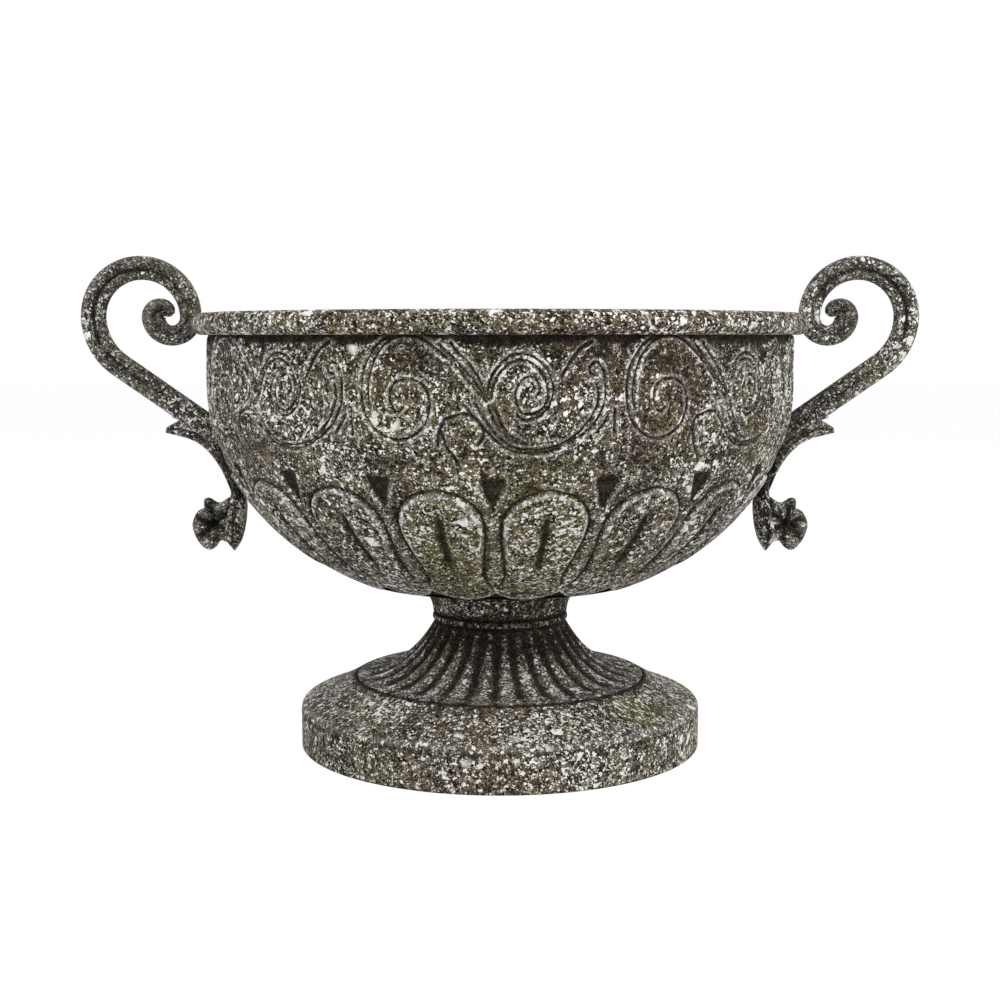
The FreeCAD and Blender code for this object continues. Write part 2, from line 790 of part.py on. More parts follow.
def tongue_pads():
    """Raised tongues: slices of a skin over the bowl's curve, eight on the front and eight on the back."""
    low = size("bowl_seat_z") + size("fit_gap")
    high = size("bowl_seat_z") + size("tongue_high") + size("tongue_relief")
    skin = wall_skin(size("tongue_root"), size("tongue_relief"), low, high)
    outline, out = tongue_outline()
    tongue = skin.common(outline.extrude(out * size("rim_bead") * 3))
    return on_both_faces(tongue, int(size("tongues_each_side")), size("tongue_pitch"))


def dart_pockets():
    """Shallow three-cornered pockets between the tongues' heads."""
    foot, up, out, length = wall_chord(size("dart_low"), size("dart_high"))
    back = foot - out * size("rim_bead")
    side = vec(0, size("dart_width") / 2, 0)
    corners = [back, back + up * length + side, back + up * length - side, back]
    prism = Part.Face(Part.Wire(polyline(corners))).extrude(out * size("rim_bead") * 2)
    low = size("bowl_seat_z") + size("tongue_low")
    high = size("scroll_low_z")
    dart = wall_skin(size("dart_depth"), size("tongue_relief") * 2, low, high).common(prism)
    return on_both_faces(dart, int(size("tongues_each_side")) - 1, size("tongue_pitch"))


# Middle lines of one unit's three scrolls, from the stalk to the curled end: turn from the unit's middle and
# share of the scroll band's height
SCROLL_LINES = [
    [(-0.5, 0.575), (-2.6, 0.71), (-6.2, 0.86), (-9.6, 0.935), (-13.4, 0.96), (-17.2, 0.885), (-19.4, 0.735),
     (-19.9, 0.56), (-18.7, 0.38), (-14.4, 0.26), (-10.3, 0.335), (-8.8, 0.51), (-11.6, 0.68), (-14.9, 0.61),
     (-14.7, 0.485)],
    [(1.5, 0.575), (1.9, 0.69), (3.6, 0.79), (6.2, 0.845), (9.1, 0.80), (11.1, 0.675), (11.1, 0.535),
     (9.3, 0.44), (7.2, 0.42), (5.9, 0.50), (5.8, 0.61), (7.6, 0.70), (9.3, 0.635)],
    [(-2.0, 0.51), (-0.2, 0.40), (2.1, 0.285), (5.3, 0.195), (9.5, 0.17), (13.9, 0.23), (17.8, 0.355),
     (19.8, 0.50), (20.0, 0.655), (19.3, 0.77)],
]
# Corners of the bud leaf below the stalk, each followed by a point on the edge to the next
BUD_LEAF = [(-6.9, 0.26), (-5.6, 0.40), (-3.2, 0.435), (-0.9, 0.39), (-0.6, 0.30), (-3.0, 0.20)]


def scroll_spot(turn, share):
    """Place of a point of the scroll unit on an upright plane behind the bowl's front wall."""
    low = size("scroll_low_z")
    across = size("wall_radius") * math.sin(math.radians(turn))
    return vec(across, -size("floor_radius"), low + share * (size("scroll_high_z") - low))


def spline(points):
    curve = Part.BSplineCurve()
    curve.interpolate(points)
    return curve


def scroll_face(corners):
    """Flat band along a scroll's middle line, narrower towards its curled end."""
    points = [scroll_spot(*corner) for corner in corners]
    middle = spline(points)
    sides = ([], [])
    for number, point in enumerate(points):
        run = middle.tangent(middle.parameter(point))[0]
        share = number / (len(points) - 1)
        half = (size("scroll_width") + (size("scroll_end_width") - size("scroll_width")) * share) / 2
        across = vec(-run.z, 0, run.x).normalize() * half
        sides[0].append(point + across)
        sides[1].append(point - across)
    edges = [spline(side).toShape() for side in sides]
    edges += [Part.makeLine(sides[0][end], sides[1][end]) for end in (0, -1)]
    return Part.Face(Part.Wire(Part.__sortEdges__(edges)))


def bud_face():
    spots = [scroll_spot(*corner) for corner in BUD_LEAF]
    spots.append(spots[0])
    return Part.Face(Part.Wire([Part.Arc(*spots[start:start + 3]).toShape() for start in (0, 2, 4)]))


def scroll_band():
    """Low scrolls and bud leaves round the upper wall, left plain behind the handles."""
    skin = wall_skin(size("tongue_root"), size("scroll_relief"), size("scroll_low_z"), size("scroll_high_z"))
    outward = vec(0, size("floor_radius") - size("rim_radius"), 0)
    faces = [scroll_face(corners) for corners in SCROLL_LINES] + [bud_face()]
    unit = [skin.common(face.extrude(outward)) for face in faces]
    count = int(size("scroll_units"))
    bands = []
    for number in range(count):
        for shape in unit:
            copy = shape.copy()
            copy.rotate(vec(0, 0, 0), vec(0, 0, 1), size("scroll_turn") + 360 * number / count)
            bands.extend(copy.Solids)
    reach = size("rim_radius")
    wide = size("strap_field")
    tall = landing.z + size("bar_arm_width")
    field = Part.makeBox(reach * 2, wide, tall, vec(-reach, -wide / 2, 0))
    return Part.makeCompound(bands).cut(field)


def both_sides(shapes):
    """Shapes of the right-hand side and their mirror images."""
    return shapes + [shape.mirror(vec(0, 0, 0), vec(1, 0, 0)) for shape in shapes]


def screw_holes():
    bore = size("screw_radius") + size("fit_gap")
    through = size("rim_bead") * 2
    lines = screw_lines(landing)
    holes = [Part.makeCylinder(bore, through * 2, start - out * through, out) for start, out, _ in lines]
    return both_sides(holes)


def drain_holes():
    count = int(size("drain_count"))
    holes = []
    for number in range(count):
        turn = 2 * math.pi * (number + 0.5) / count
        spot = vec(size("drain_circle") * math.cos(turn), size("drain_circle") * math.sin(turn), 0)
        holes.append(Part.makeCylinder(size("drain_radius"), size("rim_top_z"), spot))
    return holes


outer_shell = cut("bowl_outer", fuse("bowl_outer_lump", [outer_curve, outer_wall, rim]), outer_floor)
inner_shell = cut("bowl_inner", fuse("bowl_inner_lump", [inner_curve, inner_wall]), inner_floor)
outer_shell.Refine = False
doc.recompute()
carved = outer_shell.Shape.fuse(tongue_pads()).fuse(scroll_band()).cut(dart_pockets())
hollowed = cut("bowl_hollowed", feature("bowl_carved", carved), inner_shell)
bolt_hole = primitive("Part::Cylinder", "bowl_bolt_hole", Radius="bolt_radius + fit_gap", Height="rim_top_z")
drilled = cut("bowl_drilled", hollowed, bolt_hole)
bowl = cut("bowl", drilled, feature("bowl_small_holes", Part.makeCompound(drain_holes() + screw_holes())))
for step in (hollowed, drilled, bowl):
    step.Refine = False
bowl.Label = "bowl"

# Long bolt, its washers and nut, and the cross bar under the plinth

bolt_shank = primitive("Part::Cylinder", "bolt_shank", "bolt_low_z", Radius="bolt_radius",
                       Height="bolt_head_z - bolt_low_z")
bolt_head = primitive("Part::Prism", "bolt_head", "bolt_head_z", Circumradius="bolt_head_radius",
                      Height="bolt_head_height")
bolt_head.Polygon = 6
tie_bolt = fuse("tie_bolt", [bolt_shank, bolt_head])
tie_bolt.Label = "tie_bolt"


def bored(name, blank, z, height):
    """A blank with a running hole for the long bolt."""
    hole = primitive("Part::Cylinder", name + "_hole", z, Radius="bolt_radius + fit_gap", Height=height)
    piece = cut(name, blank, hole)
    piece.Label = name
    return piece


washer_disc = {"Radius": "bolt_washer_radius", "Height": "bolt_washer_thickness"}
upper_disc = primitive("Part::Cylinder", "upper_disc", "inner_floor_z", **washer_disc)
lower_disc = primitive("Part::Cylinder", "lower_disc", "bar_washer_z", **washer_disc)
nut_blank = primitive("Part::Prism", "nut_blank", "nut_z",
                      Circumradius="bolt_head_radius", Height="nut_height")
nut_blank.Polygon = 6
bar_blank = primitive("Part::Box", "bar_blank", "cross_bar_z",
                      Length="( base_opening + cross_bar_bearing ) * 2",
                      Width="cross_bar_width", Height="cross_bar_thickness")
bar_blank.setExpression("Placement.Base.x", named("-1 * ( base_opening + cross_bar_bearing )"))
bar_blank.setExpression("Placement.Base.y", named("-1 * cross_bar_width / 2"))
bolt_washer = bored("tie_bolt_washer", upper_disc, "inner_floor_z", "bolt_washer_thickness")
bar_washer = bored("cross_bar_washer", lower_disc, "bar_washer_z", "bolt_washer_thickness")
tie_nut = bored("tie_nut", nut_blank, "nut_z", "nut_height")
cross_bar = bored("cross_bar", bar_blank, "cross_bar_z", "cross_bar_thickness")

# Screws and washers that hold the handles

def inside_depth(start, out):
    """Distance from the bowl's outside to its inside along a screw."""
    near = 0.0
    far = size("rim_overhang") * 2 + size("bowl_wall")
    for _ in range(HALVINGS):
        middle = (near + far) / 2
        spot = start - out * middle
        drop = max(size("curve_z") - spot.z, 0.0) / size("inner_half")
        if spot.x > size("inner_radius") * math.sqrt(1 - drop ** 2):
            near = middle
        else:
            far = middle
    return near


def screw_and_washer(start, out, bite):
    seat = start - out * (inside_depth(start, out) + size("screw_seat_gap"))
    under_head = seat - out * size("screw_washer_thickness")
    shank = Part.makeCylinder(size("screw_radius"), (start - under_head).Length + bite, under_head, out)
    head = Part.makeCylinder(size("screw_head_radius"), size("screw_head_height"), under_head, out * -1)
    disc = Part.makeCylinder(size("screw_washer_radius"), size("screw_washer_thickness"), under_head, out)
    bore = size("screw_radius") + size("fit_gap")
    hole = Part.makeCylinder(bore, size("screw_washer_thickness"), under_head, out)
    return shank.fuse(head).removeSplitter(), disc.cut(hole)


fastenings = [screw_and_washer(*line) for line in screw_lines(landing)]
screws = [screw for screw, _ in fastenings]
washers = [washer for _, washer in fastenings]
rim_screws = feature("rim_screws", Part.makeCompound(both_sides(screws[:1])))
rim_screws.Label = "rim_screws"
strap_screws = feature("strap_screws", Part.makeCompound(both_sides(screws[1:])))
strap_screws.Label = "strap_screws"
screw_washers = feature("screw_washers", Part.makeCompound(both_sides(washers)))
screw_washers.Label = "screw_washers"

# Check and write

pieces = [plinth_body, fluted_foot, neck, bowl, left_handle, right_handle, tie_bolt, bolt_washer, cross_bar,
          bar_washer, tie_nut, rim_screws, strap_screws, screw_washers]
doc.recompute()
for item in doc.Objects:
    if "Invalid" in item.State or "Error" in item.State:
        raise RuntimeError("failed: %s %s" % (item.Name, item.State))
for piece in pieces:
    if piece.Shape.isNull() or not piece.Shape.isValid():
        raise RuntimeError("bad shape: %s" % piece.Label)
os.makedirs("parts", exist_ok=True)
for piece in pieces:
    piece.Shape.exportStep("parts/%s.step" % piece.Label)
    box = piece.Shape.optimalBoundingBox()
    print("%s: %d solids, %.1f mm3, x %.1f to %.1f, z %.1f to %.1f" % (
        piece.Label, len(piece.Shape.Solids), piece.Shape.Volume, box.XMin, box.XMax, box.ZMin, box.ZMax))
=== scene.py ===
import math

import bmesh
import bpy
import numpy as np
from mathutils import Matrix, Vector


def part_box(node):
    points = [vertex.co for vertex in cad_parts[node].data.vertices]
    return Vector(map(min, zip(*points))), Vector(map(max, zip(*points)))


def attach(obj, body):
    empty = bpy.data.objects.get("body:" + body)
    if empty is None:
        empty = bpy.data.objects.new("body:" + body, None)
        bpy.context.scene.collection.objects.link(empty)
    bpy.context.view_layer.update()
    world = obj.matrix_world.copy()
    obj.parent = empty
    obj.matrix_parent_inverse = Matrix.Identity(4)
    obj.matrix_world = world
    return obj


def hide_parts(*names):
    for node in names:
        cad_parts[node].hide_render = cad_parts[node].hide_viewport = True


# Two-handled iron plant pot: the castings' relief, edges and weathered finish.
# Working lengths are millimetres. Turns are degrees round the pot's axis, from the front to the right handle.

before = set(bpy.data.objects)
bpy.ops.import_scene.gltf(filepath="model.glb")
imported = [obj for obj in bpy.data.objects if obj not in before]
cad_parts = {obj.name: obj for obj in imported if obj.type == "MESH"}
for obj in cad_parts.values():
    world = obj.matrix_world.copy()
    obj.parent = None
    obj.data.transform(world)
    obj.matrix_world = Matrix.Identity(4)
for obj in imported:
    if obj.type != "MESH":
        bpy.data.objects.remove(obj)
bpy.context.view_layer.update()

MM = 0.001
SEAM = 0.00002


def node_sizes(node):
    """Half width, lowest and highest point of a CAD node, to a tenth of a millimetre."""
    lowest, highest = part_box(node)
    return [round(length / MM, 1) for length in (highest[0], lowest[2], highest[2])]


RIM_RADIUS, SEAT_Z, RIM_TOP = node_sizes("bowl")
FOOT_RADIUS, FOOT_LOW, FOOT_TOP = node_sizes("fluted_foot")
PLINTH_RADIUS = node_sizes("plinth")[0]
FLOOR_Z = node_sizes("tie_bolt_washer")[1]
PLINTH_UNDER = node_sizes("cross_bar")[2]

# Bowl: a rolled rim over a wall that is upright above and a quarter of an ellipse below
RIM_BEAD = 5.5
RIM_Z = RIM_TOP - RIM_BEAD
RIM_MIDDLE = RIM_RADIUS - RIM_BEAD
RIM_OVERHANG = 8.5
WALL_RADIUS = RIM_RADIUS - RIM_OVERHANG
WALL_THICKNESS = 3.5
WALL_STRAIGHT = 27.5
CURVE_Z = RIM_TOP - 2 * RIM_BEAD - WALL_STRAIGHT
FLOOR_RADIUS = 74.0
CURVE_HALF = (CURVE_Z - SEAT_Z) / math.sqrt(1.0 - (FLOOR_RADIUS / WALL_RADIUS) ** 2)


def smooth_step(low, high, value):
    share = np.clip((value - low) / (high - low), 0.0, 1.0)
    return share * share * (3.0 - 2.0 * share)


def within(value, foot, low, high, head):
    """1 from low to high, falling softly to 0 at the foot and at the head."""
    return smooth_step(foot, low, value) * (1.0 - smooth_step(high, head, value))


def bump_of(distance, width):
    """A soft round hump of height 1."""
    return np.exp(-(distance / width) ** 2)


def full(values):
    return np.clip(values, 0.0, 1.0)


def blended(forms, fields):
    """Lift, painted shade and grime, and wear and painted highlight of named forms, from the share of each
    form at every point.
    """
    return sum(np.outer(forms[name], field) for name, field in fields.items())


def wall_radius(height):
    drop = full((CURVE_Z - height) / CURVE_HALF)
    return WALL_RADIUS * np.sqrt(1.0 - drop ** 2)


def round_axis(turn, radius, height):
    angle = np.radians(turn)
    return np.stack([radius * np.sin(angle), -radius * np.cos(angle), height], axis=-1)


def on_wall(turn, height, lift):
    """Points on the bowl's outside, raised along its outward direction."""
    radius = wall_radius(height)
    out = radius / WALL_RADIUS ** 2
    down = np.maximum(CURVE_Z - height, 0.0) / CURVE_HALF ** 2
    length = np.hypot(out, down)
    return round_axis(turn, radius + lift * out / length, height - lift * down / length)


def run_along(line):
    """Distance of each point of a line from its start."""
    return np.concatenate([[0.0], np.cumsum(np.linalg.norm(np.diff(line, axis=0), axis=1))])


def smooth_line(corners, step):
    """Evenly stepped points on a smooth line through the corners."""
    corners = np.array(corners, float)
    padded = np.vstack([2 * corners[0] - corners[1], corners, 2 * corners[-1] - corners[-2]])
    pieces = []
    for before, start, end, after in zip(padded, padded[1:], padded[2:], padded[3:]):
        count = max(int(np.linalg.norm(end - start) / step), 2)
        share = np.linspace(0.0, 1.0, count, endpoint=False)[:, None]
        pieces.append(0.5 * (2 * start + (end - before) * share
                             + (2 * before - 5 * start + 4 * end - after) * share ** 2
                             + (3 * start - before - 3 * end + after) * share ** 3))
    pieces.append(corners[-1:])
    return np.vstack(pieces)


def bezier(poles, count):
    """Points on the curve of four poles."""
    start, first, second, end = np.array(poles, float)
    share = np.linspace(0.0, 1.0, count)[:, None]
    rest = 1.0 - share
    bend = 3 * rest ** 2 * share * first + 3 * rest * share ** 2 * second
    return rest ** 3 * start + bend + share ** 3 * end


def arc(centre, radius, start, end, count):
    """Outline points on a round, with angles in degrees from outwards to upwards."""
    angles = np.radians(np.linspace(start, end, count))
    return [(centre[0] + radius * math.cos(a), centre[1] + radius * math.sin(a)) for a in angles]


def nearest(points, targets):
    """Distance from each point to the nearest target."""
    found = np.empty(len(points))
    block = 1500
    for start in range(0, len(points), block):
        part = points[start:start + block]
        square = (part ** 2).sum(1)[:, None] + (targets ** 2).sum(1)[None, :] - 2.0 * part @ targets.T
        found[start:start + block] = np.sqrt(np.maximum(square.min(1), 0.0))
    return found


def flat_grid(across, up):
    """All pairs of an across and an up value, row by row."""
    first, second = np.meshgrid(across, up)
    return first.ravel(), second.ravel()


def grid_faces(rows, columns, closed=False):
    """Four-cornered faces of a grid whose columns run round the axis and whose rows run upwards."""
    index = np.arange(rows * columns).reshape(rows, columns)
    right = np.roll(index, -1, axis=1)
    if not closed:
        index, right = index[:, :-1], right[:, :-1]
    return np.stack([index[:-1], right[:-1], right[1:], index[1:]], axis=-1).reshape(-1, 4)


def placed(name, data):
    """A new object in the scene."""
    item = bpy.data.objects.new(name, data)
    bpy.context.scene.collection.objects.link(item)
    return item


def marked_mesh(name, points, edges, faces, marks):
    """A mesh from points in millimetres, with named marks on its points."""
    mesh = bpy.data.meshes.new(name)
    mesh.from_pydata((np.asarray(points) * MM).tolist(), edges, faces)
    for mark, values in marks.items():
        layer = mesh.attributes.new(mark, "FLOAT", "POINT")
        layer.data.foreach_set("value", np.asarray(values, dtype=np.float32).ravel())
    return mesh


def mesh_piece(name, points, faces, marks):
    """A smooth object from points in millimetres."""
    mesh = marked_mesh(name, points, [], [list(map(int, face)) for face in faces], marks)
    mesh.polygons.foreach_set("use_smooth", np.ones(len(mesh.polygons), dtype=bool))
    mesh.update()
    return placed(name, mesh)


def turned_skin(name, outline, columns, grime, wear=None):
    """A skin turned round the axis from an outline of radius and height."""
    turn = np.tile(np.linspace(0.0, 360.0, columns, endpoint=False), len(outline))
    radius, height = np.repeat(outline, columns, axis=0).T
    marks = {"grime": np.repeat(grime, columns),
             "wear": np.repeat(np.zeros(len(outline)) if wear is None else wear, columns)}
    faces = grid_faces(len(outline), columns, closed=True)
    return mesh_piece(name, round_axis(turn, radius, height), faces, marks)


def outward(piece):
    """Turn a closed piece's faces outwards."""
    shell = bmesh.new()
    shell.from_mesh(piece.data)
    bmesh.ops.remove_doubles(shell, verts=shell.verts[:], dist=SEAM)
    bmesh.ops.recalc_face_normals(shell, faces=shell.faces[:])
    shell.to_mesh(piece.data)
    shell.free()
    return piece


def discard(piece):
    mesh = piece.data
    bpy.data.objects.remove(piece)
    bpy.data.meshes.remove(mesh)


def finished(piece, node):
    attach(piece, "root")
    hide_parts(node)


# Node trees

def emptied(owner):
    """The node tree of a material or world, without its nodes."""
    owner.use_nodes = True
    owner.node_tree.nodes.clear()
    return owner.node_tree


def add_node(tree, kind, inputs=None, **settings):
    """A new node with its settings, and fixed values for its named inputs."""
    node = tree.nodes.new(kind)
    for key, value in settings.items():
        setattr(node, key, value)
    for label, value in (inputs or {}).items():
        node.inputs[label].default_value = value
    return node


def link_all(tree, pairs):
    for source, target in pairs:
        tree.links.new(source, target)


def tree_with_inputs(name, inputs, output):
    """A Geometry Nodes tree, its group nodes and the identifiers of its inputs."""
    tree = bpy.data.node_groups.new(name, "GeometryNodeTree")
    sockets = {}
    for label, kind in inputs.items():
        sockets[label] = tree.interface.new_socket(label, in_out="INPUT", socket_type=kind).identifier
    tree.interface.new_socket(output, in_out="OUTPUT", socket_type="NodeSocketGeometry")
    return tree, add_node(tree, "NodeGroupInput"), add_node(tree, "NodeGroupOutput"), sockets


def ring_tree():
    """Geometry nodes that set copies of a piece round the axis and join them into one skin."""
    tree, given, result, sockets = tree_with_inputs("copies round the axis", {
        "Piece": "NodeSocketGeometry", "Count": "NodeSocketInt", "First Turn": "NodeSocketFloat",
        "Pitch": "NodeSocketFloat", "Seam": "NodeSocketFloat", "Finish": "NodeSocketMaterial"}, "Ring")
    points = add_node(tree, "GeometryNodePoints")
    index = add_node(tree, "GeometryNodeInputIndex")
    turn = add_node(tree, "ShaderNodeMath", operation="MULTIPLY_ADD")
    axis = add_node(tree, "ShaderNodeCombineXYZ")
    rotation = add_node(tree, "FunctionNodeEulerToRotation")
    copies = add_node(tree, "GeometryNodeInstanceOnPoints")
    real = add_node(tree, "GeometryNodeRealizeInstances")
    joined = add_node(tree, "GeometryNodeMergeByDistance")
    finish = add_node(tree, "GeometryNodeSetMaterial")
    link_all(tree, [
        (given.outputs["Count"], points.inputs["Count"]),
        (index.outputs["Index"], turn.inputs[0]),
        (given.outputs["Pitch"], turn.inputs[1]),
        (given.outputs["First Turn"], turn.inputs[2]),
        (turn.outputs["Value"], axis.inputs["Z"]),
        (axis.outputs["Vector"], rotation.inputs["Euler"]),
        (points.outputs["Points"], copies.inputs["Points"]),
        (given.outputs["Piece"], copies.inputs["Instance"]),
        (rotation.outputs["Rotation"], copies.inputs["Rotation"]),
        (copies.outputs["Instances"], real.inputs["Geometry"]),
        (real.outputs["Geometry"], joined.inputs["Geometry"]),
        (given.outputs["Seam"], joined.inputs["Distance"]),
        (joined.outputs["Geometry"], finish.inputs["Geometry"]),
        (given.outputs["Finish"], finish.inputs["Material"]),
        (finish.outputs["Geometry"], result.inputs["Ring"]),
    ])
    return tree, sockets


def along_tree():
    """Geometry nodes that carry a section along a path, at the thickness stored on the path."""
    tree, given, result, sockets = tree_with_inputs("section along a path", {
        "Path": "NodeSocketGeometry", "Section": "NodeSocketObject", "Finish": "NodeSocketMaterial"}, "Bar")
    path = add_node(tree, "GeometryNodeMeshToCurve")
    upright = add_node(tree, "GeometryNodeSetCurveNormal", {"Normal": (0.0, 1.0, 0.0)}, mode="FREE")
    shape = add_node(tree, "GeometryNodeObjectInfo")
    outline = add_node(tree, "GeometryNodeMeshToCurve")
    thickness = add_node(tree, "GeometryNodeInputNamedAttribute", {"Name": "thickness"}, data_type="FLOAT")
    skin = add_node(tree, "GeometryNodeCurveToMesh", {"Fill Caps": True})
    smooth = add_node(tree, "GeometryNodeSetShadeSmooth")
    real = add_node(tree, "GeometryNodeRealizeInstances")
    finish = add_node(tree, "GeometryNodeSetMaterial")
    link_all(tree, [
        (given.outputs["Path"], path.inputs["Mesh"]),
        (path.outputs["Curve"], upright.inputs["Curve"]),
        (given.outputs["Section"], shape.inputs["Object"]),
        (shape.outputs["Geometry"], outline.inputs["Mesh"]),
        (upright.outputs["Curve"], skin.inputs["Curve"]),
        (outline.outputs["Curve"], skin.inputs["Profile Curve"]),
        (thickness.outputs["Attribute"], skin.inputs["Scale"]),
        (skin.outputs["Mesh"], smooth.inputs["Geometry"]),
        (smooth.outputs["Geometry"], real.inputs["Geometry"]),
        (real.outputs["Geometry"], finish.inputs["Geometry"]),
        (given.outputs["Finish"], finish.inputs["Material"]),
        (finish.outputs["Geometry"], result.inputs["Bar"]),
    ])
    return tree, sockets


RING_TREE, RING_SOCKETS = ring_tree()
ALONG_TREE, ALONG_SOCKETS = along_tree()


def plain_mesh(name, piece, tree, sockets, values):
    """The plain mesh that a Geometry Nodes tree makes of a piece, with its inputs by name."""
    modifier = piece.modifiers.new(name, "NODES")
    modifier.node_group = tree
    for label, value in values.items():
        modifier[sockets[label]] = value
    piece.update_tag()
    graph = bpy.context.evaluated_depsgraph_get()
    mesh = bpy.data.meshes.new_from_object(piece.evaluated_get(graph), depsgraph=graph)
    mesh.name = name
    piece.modifiers.remove(modifier)
    return mesh


def ring_of(name, piece, count, first_turn, pitch, finish):
    """Copies of a piece round the axis, as one piece. Turns are in degrees."""
    values = {"Count": count, "First Turn": math.radians(first_turn), "Pitch": math.radians(pitch),
              "Seam": SEAM, "Finish": finish}
    return placed(name, plain_mesh(name, piece, RING_TREE, RING_SOCKETS, values))


# Finishes

class Finish:
    """A material's nodes, added one after another."""

    def __init__(self, name):
        self.material = bpy.data.materials.new(name)
        self.tree = emptied(self.material)
        self.place = self.add("ShaderNodeTexCoord").outputs["Object"]

    def add(self, kind, inputs=None, **settings):
        return add_node(self.tree, kind, inputs, **settings)

    def feed(self, socket, value):
        """Set a socket to a number or colour, or link it to another socket."""
        if isinstance(value, bpy.types.NodeSocket):
            self.tree.links.new(value, socket)
        elif isinstance(value, tuple) and len(value) == 3 and socket.type == "RGBA":
            socket.default_value = value + (1.0,)
        else:
            socket.default_value = value

    def noise(self, scale, detail, rough, place=None, output="Fac"):
        node = self.add("ShaderNodeTexNoise", {"Scale": scale, "Detail": detail, "Roughness": rough})
        self.feed(node.inputs["Vector"], place or self.place)
        return node.outputs[output]

    def math(self, operation, first, second=None, third=None):
        node = self.add("ShaderNodeMath", operation=operation)
        for socket, value in zip(node.inputs, (first, second, third)):
            if value is not None:
                self.feed(socket, value)
        return node.outputs["Value"]

    def times(self, first, second):
        return self.math("MULTIPLY", first, second)

    def span(self, value, low, high, out_low=0.0, out_high=1.0):
        """The value's place between two limits, softened at both ends."""
        limits = {"From Min": low, "From Max": high, "To Min": out_low, "To Max": out_high}
        node = self.add("ShaderNodeMapRange", limits, interpolation_type="SMOOTHSTEP")
        self.feed(node.inputs["Value"], value)
        return node.outputs["Result"]

    def mix(self, share, first, second):
        node = self.add("ShaderNodeMix", data_type="RGBA")
        self.feed(node.inputs[0], share)
        self.feed(node.inputs[6], first)
        self.feed(node.inputs[7], second)
        return node.outputs[2]

    def mark(self, name):
        return self.add("ShaderNodeAttribute", attribute_name=name).outputs["Fac"]

    def spot(self, point, reach, strength):
        """The strength round a point, falling to 0 at the reach."""
        away = self.add("ShaderNodeVectorMath", operation="DISTANCE")
        self.feed(away.inputs[0], self.place)
        away.inputs[1].default_value = point
        return self.span(away.outputs["Value"], SPOT_CORE * reach, reach, strength, 0.0)

    def roughened(self, scale, reach):
        """Object coordinates shaken by noise, so that pattern edges break up."""
        shake = self.add("ShaderNodeVectorMath", operation="SUBTRACT")
        self.feed(shake.inputs[0], self.noise(scale, 3.0, 0.6, output="Color"))
        shake.inputs[1].default_value = (0.5, 0.5, 0.5)
        small = self.add("ShaderNodeVectorMath", {"Scale": reach}, operation="SCALE")
        self.feed(small.inputs[0], shake.outputs["Vector"])
        moved = self.add("ShaderNodeVectorMath", operation="ADD")
        self.feed(moved.inputs[0], self.place)
        self.feed(moved.inputs[1], small.outputs["Vector"])
        return moved.outputs["Vector"]

    def cells(self, place, scale):
        """Two random values of each irregular cell."""
        node = self.add("ShaderNodeTexVoronoi", {"Scale": scale}, feature="F1")
        self.feed(node.inputs["Vector"], place)
        split = self.add("ShaderNodeSeparateColor")
        self.feed(split.inputs["Color"], node.outputs["Color"])
        return split.outputs["Red"], split.outputs["Green"]

    def close(self, colour, roughness, height, bump_strength, bump_reach, specular):
        bump = self.add("ShaderNodeBump", {"Strength": bump_strength, "Distance": bump_reach})
        self.feed(bump.inputs["Height"], height)
        shader = self.add("ShaderNodeBsdfPrincipled", {"Specular IOR Level": specular})
        self.feed(shader.inputs["Base Color"], colour)
        self.feed(shader.inputs["Roughness"], roughness)
        self.feed(shader.inputs["Normal"], bump.outputs["Normal"])
        output = self.add("ShaderNodeOutputMaterial")
        self.feed(output.inputs["Surface"], shader.outputs["BSDF"])
        return self.material


# Colours of the old coating's layers, the near black of painted shade and grime, and the pale of rubbed wear
# and painted highlight
RUST = (0.105, 0.058, 0.034)
MOSS = (0.174, 0.152, 0.026)
SHADE_AND_GRIME_BLACK = (0.008, 0.007, 0.006)
PIT = (0.008, 0.007, 0.005)
FLAKE_DULL = (0.776, 0.76048, 0.6984)
FLAKE_BRIGHT = (0.97, 0.95545, 0.9215)
VEIN = (0.74, 0.73, 0.67)
RUBBED_AND_HIGHLIGHT = (0.50, 0.49, 0.44)
# Share of a spot's reach over which it keeps its strength
SPOT_CORE = 0.3
# Cells to a metre of the coating's pits, and of its large, middle and fine flakes
PIT_SCALE = 1000.0
FLAKE_SCALES = (250.0, 660.0, 1250.0)
LARGE_FLAKE_SHARE = 0.2
FLAKE_EDGE = 0.03
FLAKE_HEIGHT = 0.3
PIT_DEPTH = 0.35


def stained(finish, colour, clouds, blotches, spots, tint):
    """A thin stain in clouds, and a strong one round the spots."""
    cover = finish.span(clouds, 0.38, 0.64, 0.0, 0.28)
    for point, reach, strength in spots:
        cover = finish.math("MAXIMUM", cover, finish.spot(point, reach, strength))
    return finish.mix(finish.times(cover, finish.span(blotches, 0.36, 0.60)), colour, tint)


